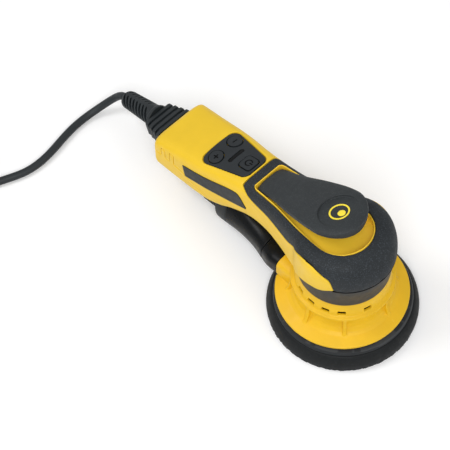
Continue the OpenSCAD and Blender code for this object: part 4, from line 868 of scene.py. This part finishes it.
plate_r = PAD_TOP_D / 2
backing = revolve("pad_backing", [(0, PLATE_Z), (plate_r + 0.2, PLATE_Z), (plate_r + 0.6, PLATE_Z + 0.4),
                                  (plate_r + 0.5, 17.8), (plate_r + 0.1, 19),
                                  (plate_r - 0.3, PAD_TOP_Z - 0.3), (plate_r - 1, PAD_TOP_Z), (0, PAD_TOP_Z)],
                  PAD_PLACE, 240)
ribs = [block("rib", (SPINDLE_FLANGE_D / 2 + 1, -1, PAD_TOP_Z - 1),
              (SPINDLE_FLANGE_D / 2 + 29, 1, PAD_TOP_Z + 1),
              PAD_PLACE @ turned(i * 360 / PAD_HOLES)) for i in range(PAD_HOLES)]
cut(backing, joined("ribs", ribs), how="UNION")
cut(backing, dust_holes(-2, 30), rod("stud_hole", STUD_D / 2 + SEAT_GAP, 10, 40, PAD_PLACE))
dress(edged(backing, 0.25, 2), MAT["inner_plastic"], "pad", "inner_plastic", "pad_plate")


# Dust shroud: a bell with a ledge, ribs, air slots and a flat port at the rear
SHROUD_Z = PAD_TOP_Z + SHROUD_GAP
COLLAR_Z = SEAM_Z - COLLAR_H
TALL = COLLAR_Z - SEAT_GAP - SHROUD_Z
SHROUD_R = SHROUD_D / 2
NECK_R = NECK_D / 2
PORT_X = -46
PORT_Z = SHROUD_Z + 1.5 + PORT_H / 2
SHROUD_OUT = [(SHROUD_R, 0), (SHROUD_R, 2.2), (NECK_R + 5.6, 5.4), (NECK_R + 2.8, 7.4), (NECK_R + 0.6, 11),
              (NECK_R - 0.2, 16), (NECK_R, 21), (NECK_R + 2.2, 23.4), (NECK_R + 2.4, 25.8),
              (NECK_R - 0.6, 26.8), (NECK_R - 1.4, 30.6), (NECK_R - 2.2, 32.4), (NECK_R - 3.2, 36.4),
              (NECK_R - 3.2, TALL)]
SHROUD_IN = [(SHROUD_R - 1.8, -1), (SHROUD_R - 1.8, 0.4), (NECK_R + 4, 3.4), (NECK_R + 0.8, 6),
             (NECK_R + 0.6 - SHROUD_WALL, 11), (NECK_R - 0.2 - SHROUD_WALL, 16),
             (NECK_R - 0.6 - SHROUD_WALL, 26), (NECK_R - 1.4 - SHROUD_WALL, 30),
             (NECK_R - 3.2 - SHROUD_WALL, 36), (NECK_R - 3.2 - SHROUD_WALL, TALL + 1)]
RIB = [(NECK_R - 1.6, 5), (NECK_R + 6.6, 4.2), (NECK_R + 4.2, 9), (NECK_R + 2.6, 17), (NECK_R + 2.3, 25),
       (NECK_R - 1.6, 25)]
RIB_T = 3
SLOTS = [-108, -88, -68, -48, -16, 48, 68, 88, 108]
SLOT_W = 6.6
SLOT_H = 3.8
SLOT_Z = 27.6


def port(inset, low, high):
    ring = oval(PORT_W / 2 - inset, PORT_H / 2 - inset, 5, 96)
    return loft("port", [[(x, y, PORT_Z + z) for y, z in ring] for x in (low, high)])


on_shroud = at(0, 0, SHROUD_Z)
rib_angles = [10 + i * 350 / SHROUD_RIBS for i in range(SHROUD_RIBS)]
bell = revolve("shroud_bell", [*SHROUD_OUT, (0, TALL), (0, 0)], on_shroud, 200)
shroud_ribs = [loft("rib", [[(r, y, z) for r, z in RIB] for y in (-RIB_T / 2, RIB_T / 2)],
                    on_shroud @ turned(a))
               for a in rib_angles if cos(a) > -0.8]
cut(bell, joined("ribs", shroud_ribs), port(0, PORT_X, PORT_X + 20), how="UNION")
slots = [block("slot", (NECK_R - 8, -SLOT_W / 2, SLOT_Z), (NECK_R + 8, SLOT_W / 2, SLOT_Z + SLOT_H),
               on_shroud @ turned(a)) for a in SLOTS]
cut(bell, revolve("hollow", [*SHROUD_IN, (0, TALL + 1), (0, -1)], on_shroud, 200),
    port(SHROUD_WALL, PORT_X - 1, PORT_X + 21),
    block("rear", (PORT_X - 40, -80, SHROUD_Z - 2), (PORT_X, 80, SHROUD_Z + 58)), joined("slots", slots))
dress(mould(bell, 0.42, 4), shroud_yellow, "machine", "yellow_plastic", "dust_shroud")


# Motor collar: a band that swells to meet the grip where the arms leave it bare, and a near-black strip of
# painted shade in the seam
BARE_ANGLE = 48
ARM_ANGLE = 60
COLLAR_SWELL = 1.9
SEAM_GROOVE = 1.9


def collar_profile(a):
    off = abs((a + 180) % 360 - 180)
    swell = COLLAR_SWELL * (1 - eased_from(off, BARE_ANGLE, ARM_ANGLE))
    outer = [(COLLAR_R - 1.4, COLLAR_Z, 0), (COLLAR_R - 0.8, COLLAR_Z + 0.25, 0),
             (COLLAR_R - 0.5, COLLAR_Z + 0.9, 0)]
    outer += [(COLLAR_R - 0.5 + 0.5 * eased_from(z, COLLAR_Z, COLLAR_Z + 12), z,
               eased_from(z, COLLAR_Z + 6, SEAM_Z - 2))
              for z in steps(COLLAR_Z + 2, SEAM_Z - SEAM_GROOVE, 1.2)]
    outer += [(COLLAR_R - 1.6, SEAM_Z - SEAM_GROOVE + 0.2, 1), (COLLAR_R - 1.8, SEAM_Z - 0.2, 1)]
    inner_r = STATOR_D / 2 + SEAT_GAP
    return [(inner_r, COLLAR_Z), *[(r + swell * share, z) for r, z, share in outer], (inner_r, SEAM_Z - 0.2)]


collar_rings = [[(r * cos(a), r * sin(a), z) for r, z in collar_profile(a)] for a in spread(0, 360, 240)]
collar = loft("collar_band", collar_rings, caps=False)
dress(edged(collar, 0.1, 1, 60), collar_black, "machine", "black_plastic", "motor_collar")
# Painted shade: a thin near-black strip along the seam stands in for the shade in the groove between grip and
# collar
SHADE_STRIP_R = 0.55
SHADE_STRIP_Z = SEAM_Z - 0.65
shade_strip_rings = [[((HEAD_R - SHADE_STRIP_R + SHADE_STRIP_R * cos(b)) * cos(a), (HEAD_R - SHADE_STRIP_R + SHADE_STRIP_R * cos(b)) * sin(a),
                SHADE_STRIP_Z + SHADE_STRIP_R * sin(b)) for b in spread(0, 330, 11)]
              for a in spread(-ARM_ANGLE, ARM_ANGLE, 80)]
seam_shade_strip = loft("seam_shade_strip", shade_strip_rings)
seam_shade_strip.data.shade_smooth()
dress(seam_shade_strip, sign_and_shade_black, "machine", "black_plastic")


# Dust duct: a flat elbow, an oval run and a tilted round fitting with a ribbed cuff
ELBOW_X = -66
DUCT_WALL = 2.2
DUCT_WIDE = [(FITTING_X, FLANGE_R), (-104, DUCT_W / 2 - 0.2), (-92, DUCT_W / 2), (-80, DUCT_W / 2 + 1.4),
             (ELBOW_X, DUCT_W / 2 + 5.2), (-56, PORT_W / 2 + 0.2), (PORT_X, PORT_W / 2)]
DUCT_TALL = [(FITTING_X, FLANGE_R), (-104, DUCT_H / 2 + 3), (-92, DUCT_H / 2 + 0.3), (-80, DUCT_H / 2 - 1.4),
             (ELBOW_X, PORT_H / 2 + 1.6), (-56, PORT_H / 2 + 0.4), (PORT_X, PORT_H / 2)]
DUCT_LEVEL = [(FITTING_X, DUCT_Z), (-104, DUCT_Z + 0.8), (-92, DUCT_Z + 1.7), (-80, DUCT_Z + 2.3),
              (ELBOW_X, PORT_Z - 4.8), (-56, PORT_Z - 1.3), (PORT_X, PORT_Z)]
DUCT_POWER = [(FITTING_X, 2), (-104, 2.3), (-92, 2.7), (ELBOW_X, 3.4), (PORT_X, 5)]


def duct_ring(x, inset):
    lean = DUCT_TILT * max(0, min(1, (-92 - x) / (-92 - FITTING_X)))
    ring = oval(curve(DUCT_WIDE, x) - inset, curve(DUCT_TALL, x) - inset, curve(DUCT_POWER, x), 128)
    return [(x - v * sin(lean), u, curve(DUCT_LEVEL, x) + v * cos(lean)) for u, v in ring]


def duct_run(name, xs, node):
    made = pipe(name, [duct_ring(x, 0) for x in xs], [duct_ring(x, DUCT_WALL) for x in xs])
    dress(edged(made, 0.45, 3, 60), gloss_black, "machine", "black_plastic", node)


duct_run("duct_bend", steps(ELBOW_X + 0.3, PORT_X - SEAT_GAP, 1), "duct_elbow")
duct_run("duct_run", steps(FITTING_X, ELBOW_X - 0.3, 1), "dust_duct")
CUFF_RIBS = 5
CUFF_STEP = 4
spigot_start = CUFF_START + CUFF_RIBS * CUFF_STEP
fitting = [(FLANGE_R - 0.5, SEAT_GAP), (FLANGE_R, 0.65), (FLANGE_R, 11.2), (FLANGE_R - 0.3, 12.1),
           (FLANGE_R - 1, 13.1), (FLANGE_R - 2, 14)]
for i in range(CUFF_RIBS):
    foot = CUFF_START - 0.5 + i * CUFF_STEP
    fitting += [(CUFF_D / 2 + out, foot + z)
                for out, z in ((-1.7, 0.5), (-1.7, 1), (-0.5, 1.2), (0, 1.6),
                               (0, 3.1), (-0.5, 3.5), (-1.7, 3.7))]
fitting += [(CUFF_D / 2 - 1.7, spigot_start - 0.2), (SPIGOT_D / 2, spigot_start),
            (SPIGOT_D / 2, spigot_start + SPIGOT_LEN - 0.8),
            (SPIGOT_D / 2 - 0.6, spigot_start + SPIGOT_LEN), (SPIGOT_BORE / 2, spigot_start + SPIGOT_LEN),
            (SPIGOT_BORE / 2, 11), (FLANGE_R - DUCT_WALL, SEAT_GAP)]
hose_cuff = revolve("hose_cuff", fitting, ON_FITTING, 160)
dress(edged(hose_cuff, 0.15, 2), MAT["black_plastic"], "machine", "black_plastic", "hose_fitting")


# Side plates: thin bare patches that follow the flanks, with a slanted rear end and a pointed tip
PLATE_PROUD = 0.6
PLATE_LOW = [(-157, 51), (-126, 58.6), (-105, 63.8), (-88, 69.2)]
PLATE_HIGH = [(-157, 64), (-126, 74), (-100, 82.4), (-95, 80.4), (-88, 70.4)]
PLATE_SLANT = 0.2


def flank_ring(x, side):
    zs = spread(curve(PLATE_LOW, x), curve(PLATE_HIGH, x), 14)
    ring = [(z, 0.0) for z in zs] + [(z, PLATE_PROUD) for z in reversed(zs)]
    slant = PLATE_SLANT * (1 - eased_from(x, -157, -140))
    made = []
    for z, out in ring:
        moved = x + slant * (zs[-1] - z)
        made.append((moved, side * Section(moved).side(z, out), z))
    return made


for name, side, node in (("flank_right", -1, "side_plate_right"), ("flank_left", 1, "side_plate_left")):
    flank = loft(name, [flank_ring(x, side) for x in steps(-157, -88.4, 1)])
    dress(edged(flank, 0.25, 2, 50), MAT["black_plastic"], "machine", "black_plastic", node)


# Keypad with three keys and a lens, all under one crown
CROWN_R = 78
PANEL_PROUD = 0.8
KEY_GROOVE = 0.9
LENS_GAP = 0.5
LENS_RIM = (1.2, 1.9)
KEY_PROUD = 1.3


def crown(up):
    place = ON_TOP @ Matrix.Translation((-60, 0, up - CROWN_R)) @ Matrix.Rotation(math.radians(90), 4, "Y")
    return rod("crown", CROWN_R, 0, 120, place, 720)


def capsule(g):
    half, r = 8 - 1.5, 1.5 + g
    return ([(LED_X + r * cos(a), half + r * sin(a)) for a in spread(0, 180, 24)]
            + [(LED_X + r * cos(a), -half + r * sin(a)) for a in spread(180, 360, 24)])


def on_top(x, y, z=0.0):
    return ON_TOP @ Matrix.Translation((x, y, z))


panel = cut(prism("key_panel", keypad_plan(PANEL_GROW), PANEL_LOW, 8, ON_TOP), crown(PANEL_PROUD),
            how="INTERSECT")
rim = cut(prism("rim", capsule(LENS_RIM[1]), 0.1, 6, ON_TOP),
          prism("rim_in", capsule(LENS_RIM[0]), -1, 8, ON_TOP))
cut(panel, *key_forms("key_hole", MOVE_GAP, -5, 5), *key_forms("key_groove", KEY_GROOVE, -KEY_GROOVE, 5),
    prism("lens_slot", capsule(LENS_GAP), -5, 5, ON_TOP), rim)
dress(mould(panel, 0.24, 2), MAT["black_plastic"], "machine", "black_plastic", "keypad")
plus_form, minus_form, power_form = [cut(form, crown(KEY_PROUD), how="INTERSECT")
                                     for form in key_forms("key", -0.1, -4, 8)]
SIGN_LOW = KEY_PROUD - 2.2
SIGN_SUNK = 0.15
STROKE = 0.6
BAR = 2.5


def bar_sign(side, g, across):
    """A bar, or two crossed, on one of the round keys."""
    place = on_top(KEY_X, side * KEY_PITCH / 2, SIGN_LOW)
    made = block("sign", (-STROKE - g, -BAR - g, 0), (STROKE + g, BAR + g, 5), place)
    if across:
        cut(made, block("bar", (-BAR - g, -STROKE - g, -0.1), (BAR + g, STROKE + g, 5.1), place), how="UNION")
    return made


def power_sign(g):
    """An arc with a bar in its mouth."""
    place = on_top(POWER_X, 0, SIGN_LOW)
    made = revolve("sign", [(2.4 - g, 0), (3.5 + g, 0), (3.5 + g, 5), (2.4 - g, 5)], place)
    cut(made, block("mouth", (0, -1.4 + g, -1), (6, 1.4 - g, 8), place))
    return joined("sign", [made, block("bar", (0.8 - g, -STROKE - g, 0), (4.2 + g, STROKE + g, 5), place)])


for form, body, sign in ((plus_form, "plus_key", lambda g: bar_sign(-1, g, True)),
                         (minus_form, "minus_key", lambda g: bar_sign(1, g, False)),
                         (power_form, "power_key", power_sign)):
    cut(form, sign(0))
    inlay = cut(sign(-0.05), crown(KEY_PROUD - SIGN_SUNK), how="INTERSECT")
    inlay.name = body + "_sign"
    dress(inlay, sign_and_shade_black, body, "black_plastic")
for form, name, body in ((plus_form, "plus_button", "plus_key"), (minus_form, "minus_button", "minus_key"),
                         (power_form, "power_button", "power_key")):
    form.name = name
    dress(mould(form, 0.2, 1), MAT["black_plastic"], body, "soft_grip", body)
lens = cut(prism("status_lens", capsule(0), PANEL_LOW, 8, ON_TOP), crown(PANEL_PROUD - 0.35), how="INTERSECT")
dress(mould(lens, 0.2, 2), MAT["lens"], "machine", "lens", "led_lens")


# Cable outlet: slabs of the folded bellows, and a boot with two rows of slanted notches
FOLDS = 4
FOLD_STEP = BELLOWS_LEN / FOLDS
SLAB_POWER = 9
SLAB = (18.4, 8.2)
SLAB_TAPER = (5.2, 0.6)
FOLD = (14.6, 6.2)
FOLD_TAPER = (4.6, 0.9)


def slab(wide, tall, low, high):
    return prism("slab", [(v, u) for u, v in oval(wide, tall, SLAB_POWER, 96)], low, high, ON_CABLE)


slabs = []
for i in range(FOLDS):
    k = i / FOLDS
    slabs += [slab(FOLD[0] - FOLD_TAPER[0] * k, FOLD[1] - FOLD_TAPER[1] * k, i * FOLD_STEP - 0.6,
                   (i + 1) * FOLD_STEP),
              slab(SLAB[0] - SLAB_TAPER[0] * k, SLAB[1] - SLAB_TAPER[1] * k, (i + 0.3) * FOLD_STEP,
                   (i + 0.85) * FOLD_STEP)]
bellows = slabs[0]
bellows.name = "folded_bellows"
cut(bellows, *slabs[1:], how="UNION")
cut(bellows, block("housing", (-HANDLE_LEN - SEAT_GAP + 0.1, -40, 0), (-HANDLE_LEN + 40, 40, 100)))
dress(mould(bellows, 0.28, 1), MAT["cable_rubber"], "machine", "cable_rubber", "cable_bellows")
BOOT_R = 9.8
BOOT_END_R = 7.8
NOTCHES = 8
NOTCH_W = 2.6
NOTCH_DEEP = 4
NOTCH_LEAN = 3.4
NOTCH_START = 7.2
NOTCH_PITCH = 4.2
NOTCH_MID = 60
NOTCH_HALF = 50


def boot_at(s):
    return BOOT_R + (BOOT_END_R - BOOT_R) * s / BOOT_LEN


boot_line = [(0, BELLOWS_LEN + SEAT_GAP), (BOOT_R + 1.4, BELLOWS_LEN + SEAT_GAP),
             (BOOT_R + 1.4, BELLOWS_LEN + 2.4), (BOOT_R + 0.9, BELLOWS_LEN + 3), (BOOT_R, BELLOWS_LEN + 3.6)]
boot_line += [(boot_at(s), BELLOWS_LEN + s) for s in steps(5, BOOT_LEN - 4, 2)]
boot_line += [(boot_at(BOOT_LEN) - 4 + 4 * cos(a), BOOT_TOP - 4 + 4 * sin(a))
              for a in spread(10, 90, 8)] + [(0, BOOT_TOP)]
boot = revolve("cable_sleeve", boot_line, ON_CABLE, 128)
notches = []
for row, side in ((0, -1), (1, 1)):
    for i in range(NOTCHES):
        s = NOTCH_START + NOTCH_PITCH * (i + 0.5 * row)
        r = boot_at(s) - NOTCH_DEEP
        # A slot as a short arc round the boot, whose upper end leans to the tip
        rings = []
        for t in spread(-1, 1, 16):
            a = side * (NOTCH_MID + NOTCH_HALF * t)
            deep = r + NOTCH_DEEP * t**4 * 0.5
            lift = -NOTCH_LEAN * t
            half = NOTCH_W / 2 * (1 - 0.4 * t * t)
            rings.append([(u * cos(a), u * sin(a), BELLOWS_LEN + s + lift + w)
                          for u, w in ((deep, -half), (deep + 6, -half), (deep + 6, half), (deep, half))])
        notches.append(loft("notch", rings, ON_CABLE))
cut(boot, joined("notches", notches))
dress(mould(boot, 0.3, 2), MAT["cable_rubber"], "machine", "cable_rubber", "cable_boot")


# Floor and light: a pale sweep, an even sky, and broad lamps over the camera and on either side
FLOOR_DROP = 0.2
floor = solid("floor", [(-6000, -6000, -FLOOR_DROP), (6000, -6000, -FLOOR_DROP), (6000, 6000, -FLOOR_DROP),
                        (-6000, 6000, -FLOOR_DROP)], [(0, 1, 2, 3)])
paper = bpy.data.materials.new("paper")
paper.use_nodes = True
paper_shader = paper.node_tree.nodes["Principled BSDF"]
paper_shader.inputs["Base Color"].default_value = (0.94, 0.94, 0.94, 1)
paper_shader.inputs["Roughness"].default_value = 0.9
paper_shader.inputs["Specular IOR Level"].default_value = 0.1
paper_shader.inputs["Emission Color"].default_value = (1, 1, 1, 1)
# A little glow that only the camera sees lifts the paper to white and keeps the shadow
seen = paper.node_tree.nodes.new("ShaderNodeLightPath").outputs["Is Camera Ray"]
glow = paper.node_tree.nodes.new("ShaderNodeMath")
glow.operation = "MULTIPLY"
glow.inputs[1].default_value = 0.1
paper.node_tree.links.new(seen, glow.inputs[0])
paper.node_tree.links.new(glow.outputs["Value"], paper_shader.inputs["Emission Strength"])
floor.data.materials.append(paper)

world = bpy.data.worlds.new("studio")
world.use_nodes = True
world.node_tree.nodes["Background"].inputs["Color"].default_value = (1, 1, 1, 1)
world.node_tree.nodes["Background"].inputs["Strength"].default_value = 0.56
bpy.context.scene.world = world


def lamp(name, place, target, size, watts):
    light = bpy.data.lights.new(name, "AREA")
    light.shape, light.size, light.energy = "DISK", size, watts
    held = bpy.data.objects.new(name, light)
    bpy.context.scene.collection.objects.link(held)
    held.location = place
    held.rotation_euler = (Vector(target) - Vector(place)).to_track_quat("-Z", "Y").to_euler()


lamp("front", (0.68, -0.74, 1.4), (-0.06, 0, 0.06), 0.8, 11)
lamp("key", (-0.8, -0.7, 1.5), (-0.06, 0, 0.06), 0.7, 8)
lamp("fill", (1.3, 0.3, 1.4), (-0.06, 0, 0.06), 1.4, 3)

bpy.context.scene.view_settings.view_transform = "Standard"
